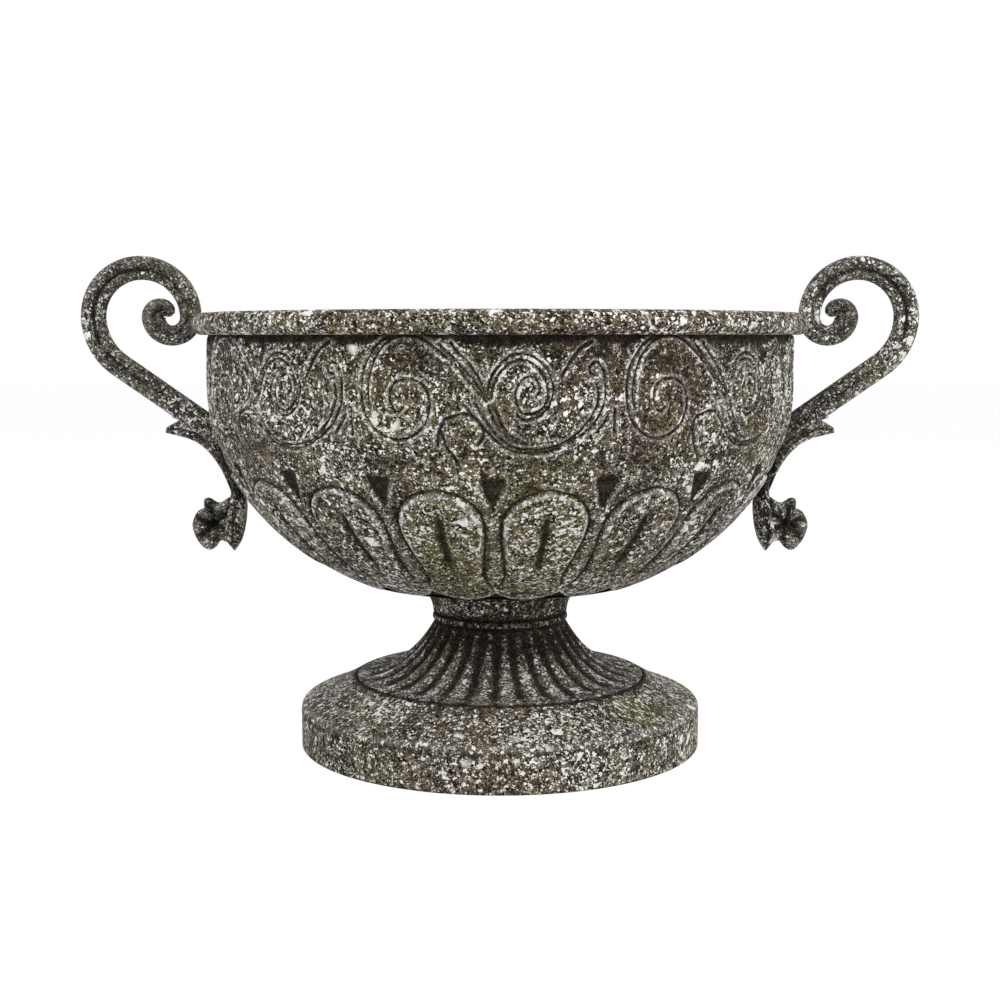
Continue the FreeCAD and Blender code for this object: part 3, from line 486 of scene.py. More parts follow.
def weathered_iron(name, dark, light, chip_cover, fine_cover, moss_spots, rust_spots):
    """Old dark coating on iron: pale flakes and specks, moss, rust, black painted shade and grime in the
    hollows, and pale rubbed wear and painted highlight.
    """
    finish = Finish(name)
    grime = finish.mark("grime")
    wear = finish.mark("wear")
    patches = finish.noise(26.0, 4.0, 0.6)
    clouds = finish.noise(45.0, 6.0, 0.65)
    blotches = finish.noise(250.0, 4.0, 0.7)
    grain = finish.noise(1200.0, 2.0, 0.65)
    tone = finish.math("MULTIPLY_ADD", clouds, 0.2, finish.times(blotches, 0.2))
    tone = finish.math("MULTIPLY_ADD", grain, 0.8, tone)
    colour = finish.mix(finish.span(tone, 0.56, 0.70), dark, light)
    colour = stained(finish, colour, clouds, blotches, rust_spots, RUST)
    colour = stained(finish, colour, clouds, blotches, moss_spots, MOSS)
    # Painted shade in hollows, under overhangs and between parts, with grime, darkens the colour towards near
    # black
    colour = finish.mix(finish.times(grime, finish.span(blotches, 0.30, 0.66, 0.98, 0.70)), colour, SHADE_AND_GRIME_BLACK)
    height = finish.math("MULTIPLY_ADD", grain, 0.5, finish.times(blotches, 0.9))

    shaken = finish.roughened(420.0, 0.0032)
    pitted, _ = finish.cells(shaken, PIT_SCALE)
    pit = finish.span(pitted, 0.79, 0.83)
    colour = finish.mix(pit, colour, PIT)
    height = finish.math("MULTIPLY_ADD", pit, -PIT_DEPTH, height)

    bare = finish.span(grime, 0.55, 0.85, 1.0, 0.0)
    push = finish.math("MULTIPLY_ADD", wear, 0.12, finish.times(grime, -0.11))
    push = finish.math("ADD", push, finish.math("MULTIPLY_ADD", patches, 0.42, -0.21))
    for scale, cover in zip(FLAKE_SCALES, (chip_cover * LARGE_FLAKE_SHARE, chip_cover, fine_cover)):
        chosen, shade = finish.cells(shaken, scale)
        edge = 1.0 - cover
        flake = finish.span(finish.math("ADD", chosen, push), edge, edge + FLAKE_EDGE)
        flake = finish.times(flake, bare)
        colour = finish.mix(flake, colour, finish.mix(shade, FLAKE_DULL, FLAKE_BRIGHT))
        height = finish.math("MULTIPLY_ADD", flake, FLAKE_HEIGHT, height)

    off_middle = finish.math("SUBTRACT", finish.noise(300.0, 2.0, 0.5, place=shaken), 0.5)
    vein = finish.span(finish.math("ABSOLUTE", off_middle), 0.0, 0.026, 0.9, 0.0)
    vein = finish.times(vein, finish.span(blotches, 0.47, 0.55))
    colour = finish.mix(finish.times(vein, bare), colour, VEIN)
    # Pale rubbed wear, and painted highlight where the marks carry it
    rubbed_and_highlight = finish.times(wear, finish.span(grain, 0.40, 0.60, 0.15, 0.75))
    colour = finish.mix(rubbed_and_highlight, colour, RUBBED_AND_HIGHLIGHT)
    roughness = finish.span(clouds, 0.3, 0.7, 0.72, 0.9)
    return finish.close(colour, roughness, height, bump_strength=0.85, bump_reach=0.0011, specular=0.1)


def rusty_steel(name):
    """Bare fastener steel under a skin of rust."""
    finish = Finish(name)
    bloom = finish.noise(140.0, 6.0, 0.7)
    pits = finish.noise(900.0, 3.0, 0.6)
    colour = finish.mix(finish.span(bloom, 0.35, 0.65), (0.045, 0.036, 0.030), (0.17, 0.078, 0.034))
    colour = finish.mix(finish.span(pits, 0.55, 0.7, 0.0, 0.6), colour, (0.018, 0.013, 0.010))
    height = finish.math("MULTIPLY_ADD", pits, 0.6, bloom)
    roughness = finish.span(bloom, 0.3, 0.7, 0.55, 0.9)
    return finish.close(colour, roughness, height, bump_strength=0.5, bump_reach=0.0004, specular=0.4)


# Places of moss and rust with their reach, in metres, and their strength
MOSS_SPOTS = [
    ((0.0, -0.125, 0.115), 0.085, 0.56),
    ((-0.05, -0.135, 0.19), 0.035, 0.45),
    ((0.069, -0.060, 0.031), 0.019, 0.95),
    ((0.098, -0.045, 0.010), 0.016, 0.85),
    ((-0.092, -0.125, 0.222), 0.020, 0.5),
]
RUST_SPOTS = [
    ((0.065, -0.135, 0.200), 0.055, 0.7),
    ((0.030, -0.150, 0.215), 0.050, 0.7),
    ((-0.060, -0.140, 0.205), 0.040, 0.6),
    ((0.0, -0.100, 0.012), 0.060, 0.5),
]
BODY_IRON = weathered_iron(
    "chipped and mossy iron", dark=(0.009, 0.007, 0.005), light=(0.240, 0.206, 0.150),
    chip_cover=0.086, fine_cover=0.112, moss_spots=MOSS_SPOTS, rust_spots=RUST_SPOTS)
HANDLE_IRON = weathered_iron(
    "chipped handle iron", dark=(0.008, 0.007, 0.006), light=(0.148, 0.134, 0.114),
    chip_cover=0.042, fine_cover=0.088, moss_spots=[], rust_spots=[])
RUSTY_STEEL = rusty_steel("rusted fastener steel")

# Frieze of scrolls: one unit, repeated round the bowl
UNIT_COUNT = 8
UNIT_TURN = 360.0 / UNIT_COUNT
UNIT_START = -28.4
FRIEZE_LOW = 157.0
FRIEZE_HIGH = RIM_Z - 5.0
FRIEZE_COLUMNS = 216
FRIEZE_ROWS = 110
# Incised lines of one unit, as turn and height
SCROLL_LINES = {
    "left spiral, inner line": [
        (-16.2, 185.7), (-17.1, 183.7), (-18.0, 185.7), (-18.4, 189.9), (-18.3, 193.2), (-17.6, 196.4),
        (-16.5, 197.9), (-15.0, 198.2), (-13.7, 197.4), (-12.7, 195.7), (-12.0, 192.9), (-11.7, 189.2),
        (-11.7, 185.7), (-12.1, 181.2), (-12.9, 177.3), (-14.2, 174.6), (-15.7, 172.7), (-17.1, 171.8),
        (-18.6, 172.3), (-20.1, 174.0), (-21.3, 176.2), (-22.4, 179.6), (-23.0, 182.9), (-23.4, 187.0),
        (-23.6, 192.3), (-23.5, 197.9), (-23.0, 203.4), (-22.0, 208.4), (-20.6, 213.2), (-18.8, 216.3),
        (-16.7, 218.1)],
    "left spiral, outer line": [
        (-22.0, 185.7), (-22.4, 189.6), (-22.4, 194.0), (-22.2, 198.4), (-21.8, 202.3), (-21.2, 206.8),
        (-20.2, 210.7), (-19.0, 213.9), (-17.6, 216.3), (-15.9, 217.3), (-14.0, 216.9), (-12.4, 215.0),
        (-10.7, 211.8), (-9.1, 208.4), (-7.6, 205.0), (-6.2, 200.7), (-4.7, 196.0), (-3.5, 192.0),
        (-2.3, 188.8)],
    "slanting band, middle line": [
        (-10.0, 213.4), (-8.6, 209.9), (-7.2, 206.2), (-5.8, 202.3), (-4.4, 198.2), (-3.3, 193.9),
        (-2.3, 189.9)],
    "slanting band, upper line": [
        (-8.1, 214.0), (-7.0, 210.4), (-5.4, 206.2), (-4.3, 202.1), (-3.3, 198.1), (-2.6, 194.0),
        (-2.1, 190.7)],
    "right spiral, outer line": [
        (-2.0, 189.9), (-1.9, 194.0), (-1.6, 197.9), (-1.0, 201.2), (0.0, 204.6), (1.4, 207.8), (3.0, 209.2),
        (4.6, 208.8), (6.2, 206.6), (7.6, 202.9), (8.4, 198.4), (8.8, 193.7), (8.4, 189.2), (7.7, 185.4),
        (6.5, 182.6), (5.1, 181.1), (3.8, 180.8), (2.9, 182.8)],
    "right spiral, inner line": [
        (-1.5, 189.9), (-1.3, 194.0), (-0.9, 197.1), (-0.2, 200.3), (0.6, 203.0), (1.8, 205.6), (3.5, 206.7),
        (4.9, 205.7), (6.1, 203.3), (7.1, 199.9), (7.7, 196.1), (7.9, 192.6), (7.6, 188.8), (7.0, 186.1),
        (5.9, 184.0), (4.7, 183.2), (3.6, 183.7), (3.0, 185.9), (2.6, 189.2), (2.6, 193.2), (3.3, 196.8),
        (4.5, 199.2), (5.6, 199.0), (6.4, 196.2), (6.5, 192.9), (6.0, 191.0)],
    "sweeping band, lowest line": [
        (-5.8, 187.0), (-5.2, 185.1), (-3.9, 180.7), (-2.5, 176.7), (-1.1, 172.8), (0.6, 169.0), (2.2, 167.2),
        (4.3, 166.2), (7.0, 166.3), (9.3, 167.9), (11.5, 170.7), (13.5, 173.7), (15.2, 177.4), (16.5, 181.8),
        (17.2, 185.9), (17.6, 190.7), (17.6, 196.2), (17.3, 201.2), (16.6, 204.6), (15.6, 205.4),
        (14.8, 203.4), (15.1, 200.7), (16.0, 200.3)],
    "sweeping band, second line": [
        (-4.1, 188.1), (-3.6, 186.0), (-2.5, 181.1), (-1.3, 176.7), (0.0, 172.8), (1.6, 169.6), (3.5, 168.0),
        (6.0, 167.8), (8.2, 168.6), (10.4, 170.3), (12.7, 174.3), (14.4, 178.8), (15.5, 183.1), (16.2, 187.4),
        (16.4, 192.0), (16.1, 196.2)],
    "sweeping band, third line": [
        (-1.9, 186.8), (-1.5, 183.7), (-0.9, 179.9), (0.2, 175.6), (1.4, 172.8), (2.7, 171.1), (4.5, 170.1)],
    "sweeping band, top line": [(-1.1, 187.3), (-0.4, 183.2), (0.4, 177.8), (1.7, 174.0), (3.0, 172.1)],
    "small leaf, back edge": [(-9.1, 181.2), (-9.9, 177.3), (-10.3, 173.7), (-10.5, 169.6)],
    "small leaf, stem": [
        (-9.9, 176.2), (-9.4, 172.3), (-8.9, 168.4), (-8.1, 165.4), (-7.3, 162.2), (-7.0, 158.4)],
    "small leaf, top edge": [
        (-9.1, 180.7), (-7.8, 182.2), (-5.8, 183.3), (-4.1, 181.4), (-2.9, 177.7), (-2.8, 173.4),
        (-3.7, 170.1)],
    "twig": [(10.2, 199.2), (11.2, 204.3), (12.1, 207.9), (13.4, 211.7), (15.1, 214.3)],
    "bud stem": [(-25.7, 185.7), (-25.7, 180.1), (-25.6, 174.0)],
    "bud leaf": [(-26.8, 182.3), (-27.7, 178.4), (-28.9, 174.6)],
}
DEEP_LINES = ("small leaf, back edge", "small leaf, stem", "twig")
LINE_STEP = 0.35
# Turn past a unit's ends over which its neighbours' lines still count
LINE_MARGIN = 4.0
LINE_WIDTH = 0.62
DEEP_LINE_WIDTH = 1.15
RIDGE_AWAY = 1.35
RIDGE_WIDTH = 0.5
BAND_REACH = 4.0
BAND_FULL = 2.0
FRIEZE_SPAN = (FRIEZE_LOW, FRIEZE_LOW + 4.0, FRIEZE_HIGH - 2.0, FRIEZE_HIGH)
# Forms of the frieze: lift in millimetres, painted shade and grime, and wear
FRIEZE_FORMS = {
    "band": (0.85, 0.0, 0.0),
    "ridge": (0.45, 0.0, 0.7),
    # Painted shade in the incised grooves
    "groove": (-1.15, 0.95, 0.0),
    # Painted shade on the sunk ground between the bands, more of it under the rim
    "ground": (0.0, 0.22, 0.0),
    "upper ground": (0.0, 0.33, 0.0),
}
# Heights over which the ground's painted shade grows towards the rim
UPPER_GROUND = (188.0, 208.0)
# Painted shade under the rim's overhang: the heights over which it grows, and its strength
UNDER_RIM_SPAN = (FRIEZE_HIGH - 6.0, FRIEZE_HIGH)
UNDER_RIM_SHADE = 0.85


def frieze_relief(turn, height):
    """Lift, painted shade and grime, and wear over one unit of the frieze."""
    base = on_wall(turn, height, 0.0)
    arc_scale = [math.radians(WALL_RADIUS), 1.0]
    low = UNIT_START - LINE_MARGIN
    high = UNIT_START + UNIT_TURN + LINE_MARGIN
    lines = []
    deep = []
    for label, corners in SCROLL_LINES.items():
        line = smooth_line(np.array(corners) * arc_scale, LINE_STEP) / arc_scale
        for shift in (-UNIT_TURN, 0.0, UNIT_TURN):
            near = line[(line[:, 0] + shift > low) & (line[:, 0] + shift < high)]
            points = on_wall(near[:, 0] + shift, near[:, 1], 0.0)
            lines.append(points)
            if label in DEEP_LINES:
                deep.append(points)
    gap = nearest(base, np.vstack(lines))
    deep_gap = nearest(base, np.vstack(deep))
    groove = np.maximum(bump_of(gap, LINE_WIDTH), bump_of(deep_gap, DEEP_LINE_WIDTH))
    band = smooth_step(BAND_REACH, BAND_FULL, gap)
    lift, grime, wear = within(height, *FRIEZE_SPAN) * blended(FRIEZE_FORMS, {
        "band": band,
        "ridge": bump_of(gap - RIDGE_AWAY, RIDGE_WIDTH) * (1.0 - groove),
        "groove": groove,
        "ground": 1.0 - band,
        "upper ground": (1.0 - band) * smooth_step(*UPPER_GROUND, height),
    })
    # Painted shade under the rim is added on top
    return lift, full(grime + UNDER_RIM_SHADE * smooth_step(*UNDER_RIM_SPAN, height)), wear


def frieze(finish):
    """The band of scrolls, as a front and a back skin."""
    turn, height = flat_grid(np.linspace(UNIT_START, UNIT_START + UNIT_TURN, FRIEZE_COLUMNS),
                             np.linspace(FRIEZE_LOW, FRIEZE_HIGH, FRIEZE_ROWS))
    lift, grime, wear = frieze_relief(turn, height)
    faces = grid_faces(FRIEZE_ROWS, FRIEZE_COLUMNS)
    unit = mesh_piece("frieze_unit", on_wall(turn, height, lift), faces, {"grime": grime, "wear": wear})
    half = UNIT_COUNT // 2
    for name, first in (("front_scroll_frieze", -1), ("back_scroll_frieze", half - 1)):
        band = ring_of(name, unit, half, first * UNIT_TURN, UNIT_TURN, finish)
        finished(band, "bowl")
    discard(unit)


# Tongues: eight on each face, with a plain field behind each handle strap
TONGUE_COUNT = 8
TONGUE_PITCH = 21.1
TONGUE_TURN = -1.4
TONGUE_COLUMNS = 66
TONGUE_ROWS = 148
STRAP_FIELD = 180.0 - TONGUE_COUNT * TONGUE_PITCH
FIELD_COLUMNS = 30
# Outline of one tongue, right half, from its head to where it meets its neighbour, as turn and height
TONGUE_OUTLINE = [
    (0.0, 148.6), (1.3, 147.9), (3.5, 146.4), (5.35, 144.3), (7.35, 140.0), (8.6, 134.3), (8.9, 127.1),
    (8.4, 117.1), (7.8, 105.7), (8.3, 101.5), (9.6, 97.6), (10.55, 96.0)]
# Radius of the bowl half-way up a tongue
TONGUE_RADIUS = 120.0
# Heights at which a form begins, is full, is still full and ends, and widths of the forms
PILLOW_EDGE = (0.2, 3.2)
VALLEY_SPAN = (105.0, 112.0, 132.0, 142.0)
VALLEY_WIDTH = 2.3
GROOVE_RISE = (96.5, 100.0)
GROOVE_WIDTH = 0.85
BEAD_RISE = (100.0, 136.0)
BEAD_AWAY = 2.0
BEAD_WIDTH = 0.8
OUTSIDE_SPAN = (100.0, 108.0, 145.0, 150.0)
STRIP_SPAN = (100.0, 106.0, 134.0, 140.0)
STRIP_WIDTH = 1.8
DART_SPAN = (136.0, 142.0, 153.0, 156.5)
DART_EDGE = 1.6
BORDER_SPAN = (138.0, 143.0, 151.0, 155.0)
BORDER_WIDTH = 0.9
# Height and half width of a dart, from its point upwards
DART_SIDES = [(137.0, 0.0), (152.0, 6.4), (155.0, 6.4), (157.5, 5.0)]
# Round lower ends of the tongues: lowest height, height of the cusps, and where the tongues run into them
LOBE_LOW = SEAT_Z + 0.4
LOBE_CUSP = 94.0
LOBE_BEND = 2.4
LOBE_EDGE = 0.25
LOBE_STEP = 1.2
LOBE_RISE = (104.0, 98.0)
LOBE_LIFT = 0.35
# Painted highlight along the lobes' lower edges: its width and strength
LIP_WIDTH = 0.7
LIP_HIGHLIGHT = 0.8
# Forms of a tongue: lift in millimetres, painted shade and grime, and wear and painted highlight
TONGUE_FORMS = {
    "body": (1.0, 0.0, 0.0),
    # Painted shade in the valley and the outline groove
    "valley": (-1.7, 1.1, 0.0),
    "groove": (-1.1, 1.0, 0.0),
    # The bead's wear is partly painted highlight
    "bead": (0.35, 0.0, 1.0),
    "strip": (0.8, 0.0, 0.3),
    # Painted shade in the darts and in the field outside the tongues
    "dart": (-1.2, 1.0, 0.0),
    "border": (0.4, 0.0, 0.6),
    "outside": (-0.5, 0.3, 0.0),
}


def tongue_relief(turn, height):
    """Lift, painted shade and grime, and wear and painted highlight over one tongue, whose middle is at turn
    0.
    """
    side = np.array(TONGUE_OUTLINE)
    whole = np.vstack([side[::-1] * [-1.0, 1.0], side[1:]])
    arc_scale = [math.radians(TONGUE_RADIUS), 1.0]
    line = smooth_line(whole * arc_scale, LINE_STEP) / arc_scale
    shifts = (-TONGUE_PITCH, 0.0, TONGUE_PITCH)
    outline = np.vstack([on_wall(line[:, 0] + shift, line[:, 1], 0.0) for shift in shifts])
    gap = nearest(on_wall(turn, height, 0.0), outline)
    half_width = np.interp(height, side[::-1, 1], side[::-1, 0], left=TONGUE_PITCH / 2, right=-1.0)
    inside = (np.abs(turn) < half_width).astype(float)
    across = np.radians(turn) * wall_radius(height)
    to_next = np.radians(TONGUE_PITCH / 2 - np.abs(turn)) * wall_radius(height)
    in_dart = np.interp(height, *zip(*DART_SIDES)) - to_next
    lobes = smooth_step(*LOBE_RISE, height)
    pillow = inside * smooth_step(*PILLOW_EDGE, gap)
    border = bump_of(in_dart + BORDER_WIDTH, BORDER_WIDTH)
    lift, grime, wear = blended(TONGUE_FORMS, {
        "body": np.maximum(pillow * (1.0 - lobes), lobes * LOBE_LIFT),
        "valley": bump_of(across, VALLEY_WIDTH) * within(height, *VALLEY_SPAN),
        "groove": bump_of(gap, GROOVE_WIDTH) * smooth_step(*GROOVE_RISE, height),
        "bead": inside * bump_of(gap - BEAD_AWAY, BEAD_WIDTH) * smooth_step(*BEAD_RISE, height),
        "strip": (1.0 - inside) * bump_of(to_next, STRIP_WIDTH) * within(height, *STRIP_SPAN),
        "dart": smooth_step(0.0, DART_EDGE, in_dart) * within(height, *DART_SPAN),
        "border": (1.0 - inside) * border * within(height, *BORDER_SPAN),
        "outside": (1.0 - inside) * within(height, *OUTSIDE_SPAN),
    })
    edge = LOBE_LOW + (LOBE_CUSP - LOBE_LOW) * (np.abs(turn) / (TONGUE_PITCH / 2)) ** LOBE_BEND
    lobe = smooth_step(edge - LOBE_EDGE, edge + LOBE_EDGE, height)
    # A painted highlight along each lobe's edge, and painted shade over the underside below the lobes
    lip_highlight = lobe * bump_of(height - edge - LIP_WIDTH, LIP_WIDTH)
    lift = lift * lobe - LOBE_STEP * (1.0 - lobe)
    return lift, full(grime + 1.0 - lobe), full(wear + LIP_HIGHLIGHT * lip_highlight)


def tongue_heights():
    """Heights along the wall's curve from the seat to the frieze, closer together at the lobes."""
    lap = 0.3
    crowding = 1.35
    fine = np.linspace(SEAT_Z, FRIEZE_LOW + lap, 4000)
    run = run_along(np.stack([wall_radius(fine), fine], axis=1))
    return np.interp(np.linspace(0.0, 1.0, TONGUE_ROWS) ** crowding * run[-1], run, fine)


def tongues(finish):
    """Front and back tongues."""
    half = TONGUE_PITCH / 2
    turn, height = flat_grid(np.linspace(-half, half, TONGUE_COLUMNS), tongue_heights())
    lift, grime, wear = tongue_relief(turn, height)
    faces = grid_faces(TONGUE_ROWS, TONGUE_COLUMNS)
    tongue = mesh_piece("tongue", on_wall(turn, height, lift), faces, {"grime": grime, "wear": wear})
    first = TONGUE_TURN - TONGUE_PITCH * (TONGUE_COUNT - 1) / 2
    for name, face in (("front_tongues", 0.0), ("back_tongues", 180.0)):
        row = ring_of(name, tongue, TONGUE_COUNT, first + face, TONGUE_PITCH, finish)
        finished(row, "bowl")
    discard(tongue)


def strap_fields(finish):
    """The plain fields behind the handle straps, which run into the tongues beside them."""
    share, height = flat_grid(np.linspace(-1.0, 1.0, FIELD_COLUMNS), tongue_heights())
    lift, grime, wear = tongue_relief(np.full_like(height, TONGUE_PITCH / 2), height)
    beside = 1.0 - smooth_step(1.0, 0.5, np.abs(share))
    points = on_wall(90.0 + TONGUE_TURN + share * STRAP_FIELD / 2, height, lift * beside)
    marks = {"grime": grime * beside, "wear": wear * beside}
    field = mesh_piece("strap_field", points, grid_faces(TONGUE_ROWS, FIELD_COLUMNS), marks)
    pair = ring_of("plain_strap_fields", field, 2, 0.0, 180.0, finish)
    finished(pair, "bowl")
    discard(field)


# Rim and inside of the bowl
LINING_COLUMNS = 288
RIM_FOOT = (WALL_RADIUS - 0.4, RIM_Z - 6.5)
RIM_UNDER = -125.0
INNER_EDGE = 1.2
# The inside gets darker towards the floor: how dark, and over what height
FLOOR_DARKENING = 0.5
FLOOR_DARKENING_RISE = 30.0
# Floor plate and its holes: radius and number of corners
FLOOR_PLATE = (26.0, 72)
BOLT_HOLE = (4.3, 28)
DRAIN_HOLE = (4.5, 28)
DRAIN_CIRCLE = 14.5
DRAIN_TURNS = (45, 135, 225, 315)


def rim_and_lining(finish):
    """The rolled rim and the bowl's inside down to the floor plate."""
    inner = WALL_RADIUS - WALL_THICKNESS
    inner_half = CURVE_HALF - WALL_THICKNESS
    outline = [RIM_FOOT]
    outline += arc((RIM_MIDDLE, RIM_Z), RIM_BEAD, RIM_UNDER, 90.0, 34)
    outline += arc((inner + INNER_EDGE, RIM_TOP - INNER_EDGE), INNER_EDGE, 90.0, 180.0, 6)
    outline += [(inner, height) for height in np.linspace(RIM_Z, CURVE_Z, 10)]
    for height in np.linspace(CURVE_Z, FLOOR_Z, 44)[1:]:
        outline.append((inner * math.sqrt(1.0 - ((CURVE_Z - height) / inner_half) ** 2), height))
    outline += [(radius, FLOOR_Z) for radius in np.linspace(outline[-1][0], FLOOR_PLATE[0], 8)[1:]]
    outline = np.array(outline)
    # Darker towards the floor; painted shade at the outline's first point, under the rim
    grime = FLOOR_DARKENING * smooth_step(SEAT_Z + FLOOR_DARKENING_RISE, SEAT_Z, outline[:, 1])
    grime[0] = 1.0
    lining = turned_skin("rolled_rim_and_lining", outline, LINING_COLUMNS, grime)
    lining.data.materials.append(finish)
    finished(lining, "bowl")


def drained_floor(finish):
    """The middle of the bowl's floor, with the bolt hole and the drain holes."""
    floor = bmesh.new()
    rings = [(0.0, 0.0) + FLOOR_PLATE, (0.0, 0.0) + BOLT_HOLE]
    for turn in np.radians(DRAIN_TURNS):
        rings.append((DRAIN_CIRCLE * math.cos(turn), DRAIN_CIRCLE * math.sin(turn)) + DRAIN_HOLE)
    for x, y, radius, count in rings:
        corners = []
        for turn in np.linspace(0.0, 2.0 * math.pi, count, endpoint=False):
            spot = (x + radius * math.cos(turn), y + radius * math.sin(turn), FLOOR_Z)
            corners.append(floor.verts.new([length * MM for length in spot]))
        for start, end in zip(corners, corners[1:] + corners[:1]):
            floor.edges.new((start, end))
    edges = floor.edges[:]
    bmesh.ops.triangle_fill(floor, use_beauty=True, use_dissolve=False, edges=edges, normal=(0, 0, 1))
    walls = bmesh.ops.extrude_face_region(floor, geom=floor.faces[:])
    lower = [item for item in walls["geom"] if isinstance(item, bmesh.types.BMVert)]
    bmesh.ops.translate(floor, verts=lower, vec=(0.0, 0.0, (SEAT_Z - FLOOR_Z) * MM))
    bmesh.ops.recalc_face_normals(floor, faces=floor.faces[:])
    mesh = bpy.data.meshes.new("drained_floor")
    floor.to_mesh(mesh)
    floor.free()
    mesh.materials.append(finish)
    finished(placed("drained_floor", mesh), "bowl")


# Neck: flange on the foot, poles of the flare, and the dish, as radius and height
NECK_COLUMNS = 144
NECK_FLANGE = [(28.7, FOOT_TOP + 0.05), (35.2, FOOT_TOP + 0.05)]
NECK_FLARE = [(35.8, 71.2), (36.4, 77.5), (39.5, 85.5), (52.0, 87.2)]
NECK_DISH = [(60.0, 87.8), (68.0, 88.1), (72.2, 88.3), (72.6, 88.65)]
# Painted shade over the neck under the bowl, and more of it up towards the dish
NECK_SHADE = 0.42
DISH_SHADE = 0.4
DISH_SHADE_RISE = (78.0, 87.0)


def neck(finish):
    """The neck's flare and the dish under the bowl."""
    outline = np.vstack([NECK_FLANGE, bezier(NECK_FLARE, 24), NECK_DISH])
    height = outline[:, 1]
    # Painted shade in the joint with the foot, over the neck and up towards the dish
    joint_shade = bump_of(height - FOOT_TOP - 0.1, 1.2)
    grime = full(NECK_SHADE + DISH_SHADE * smooth_step(*DISH_SHADE_RISE, height) + joint_shade)
    skin = turned_skin("neck_casting", outline, NECK_COLUMNS, grime)
    skin.data.materials.append(finish)
    finished(skin, "neck")


# Foot: flutes, and the outline of lip, flare and waist ring, as radius and height
FLUTE_COUNT = 32
FLUTE_PITCH = 360.0 / FLUTE_COUNT
FLUTE_TURN = 3.3
FLUTE_COLUMNS = 19
FLUTE_DEPTH = 2.3
FLUTE_FALL = 0.35
FLUTE_BEND = 1.5
# Shares of the flare at which the flutes begin, are full, are still full and end
FLUTE_SPAN = (0.02, 0.2, 0.86, 0.99)
FOOT_LIP = [(74.6, FOOT_LOW + 0.02), (75.9, FOOT_LOW + 0.04), (76.45, 35.9), (FOOT_RADIUS, 36.4)]
FOOT_FLARE = [(FOOT_RADIUS, 36.9), (49.4, 38.8), (38.3, 60.2), (35.0, 65.9)]
WAIST_RING = (33.85, 68.2)
WAIST_BEAD = 2.3
WAIST_TOP = (34.0, FOOT_TOP - 0.05)
# Height and width of the joints' dark lines of painted shade, and the heights between which painted shade
# grows up under the bowl and the ridges' wear and painted highlight end
FOOT_JOINTS = [(65.8, 0.8), (70.4, 0.7), (36.0, 1.2)]
WAIST_SHADE = (42.0, 60.0)
FLUTE_WEAR_AND_HIGHLIGHT = (44.0, 56.0)


def flared_foot(finish):
    """The foot: hollow flutes that run down the flare to a plain lip."""
    flare = bezier(FOOT_FLARE, 56)
    outline = np.vstack([FOOT_LIP, flare, arc(WAIST_RING, WAIST_BEAD, -78.0, 78.0, 16), [WAIST_TOP]])
    half = FLUTE_PITCH / 2
    turn, row = flat_grid(np.linspace(-half, half, FLUTE_COLUMNS), np.arange(len(outline)))
    radius, height = outline[row].T
    share = full((row - len(FOOT_LIP)) / (len(flare) - 1.0))
    hollow = np.abs(np.sin(np.pi * turn / FLUTE_PITCH)) ** FLUTE_BEND
    depth = FLUTE_DEPTH * (radius / FOOT_RADIUS) * within(share, *FLUTE_SPAN)
    sink = depth * hollow
    points = round_axis(turn, radius - sink, height - FLUTE_FALL * sink)
    # Painted shade in the flutes' hollows, in the joints and up under the bowl; wear and painted highlight on
    # the flute ridges lower down
    joint_shade = sum(bump_of(height - place, width) for place, width in FOOT_JOINTS)
    waist_shade = 0.55 * smooth_step(*WAIST_SHADE, height)
    grime = full(0.95 * hollow ** 1.6 * np.minimum(depth, 1.0) + joint_shade + waist_shade)
    wear = 0.3 * (1.0 - hollow) * (1.0 - smooth_step(*FLUTE_WEAR_AND_HIGHLIGHT, height))
    faces = grid_faces(len(outline), FLUTE_COLUMNS)
    flute = mesh_piece("flute", points, faces, {"grime": grime, "wear": wear})
    casting = ring_of("fluted_foot_casting", flute, FLUTE_COUNT, FLUTE_TURN, FLUTE_PITCH, finish)
    finished(casting, "fluted_foot")
    discard(flute)


# Plinth: underside, wall, poles of the shoulder and the recess for the foot, as radius and height
PLINTH_COLUMNS = 256
PLINTH_OPENING = 58.0
PLINTH_INNER = PLINTH_RADIUS - 5.0
PLINTH_EDGE = 1.0
PLINTH_WALL = (2.5, 19.0)
UNDERSIDE = [
    (PLINTH_OPENING, PLINTH_UNDER), (72.5, PLINTH_UNDER), (PLINTH_INNER, 14.5), (PLINTH_INNER, 0.0),
    (PLINTH_RADIUS - PLINTH_EDGE, 0.0)]
SHOULDER = [(PLINTH_RADIUS, 19.7), (PLINTH_RADIUS, 26.7), (101.1, 22.5), (77.9, 36.35)]
FOOT_RECESS = [
    (77.4, 36.3), (77.2, 35.9), (77.2, FOOT_LOW), (PLINTH_OPENING, FOOT_LOW), (PLINTH_OPENING, PLINTH_UNDER)]
# Radius of the joint and height of the crease under the shoulder, both with painted shade, and place of the
# shoulder's worn edge
PLINTH_JOINT = 77.4
PLINTH_CREASE = 19.6
WORN_EDGE = (105.6, 22.6)


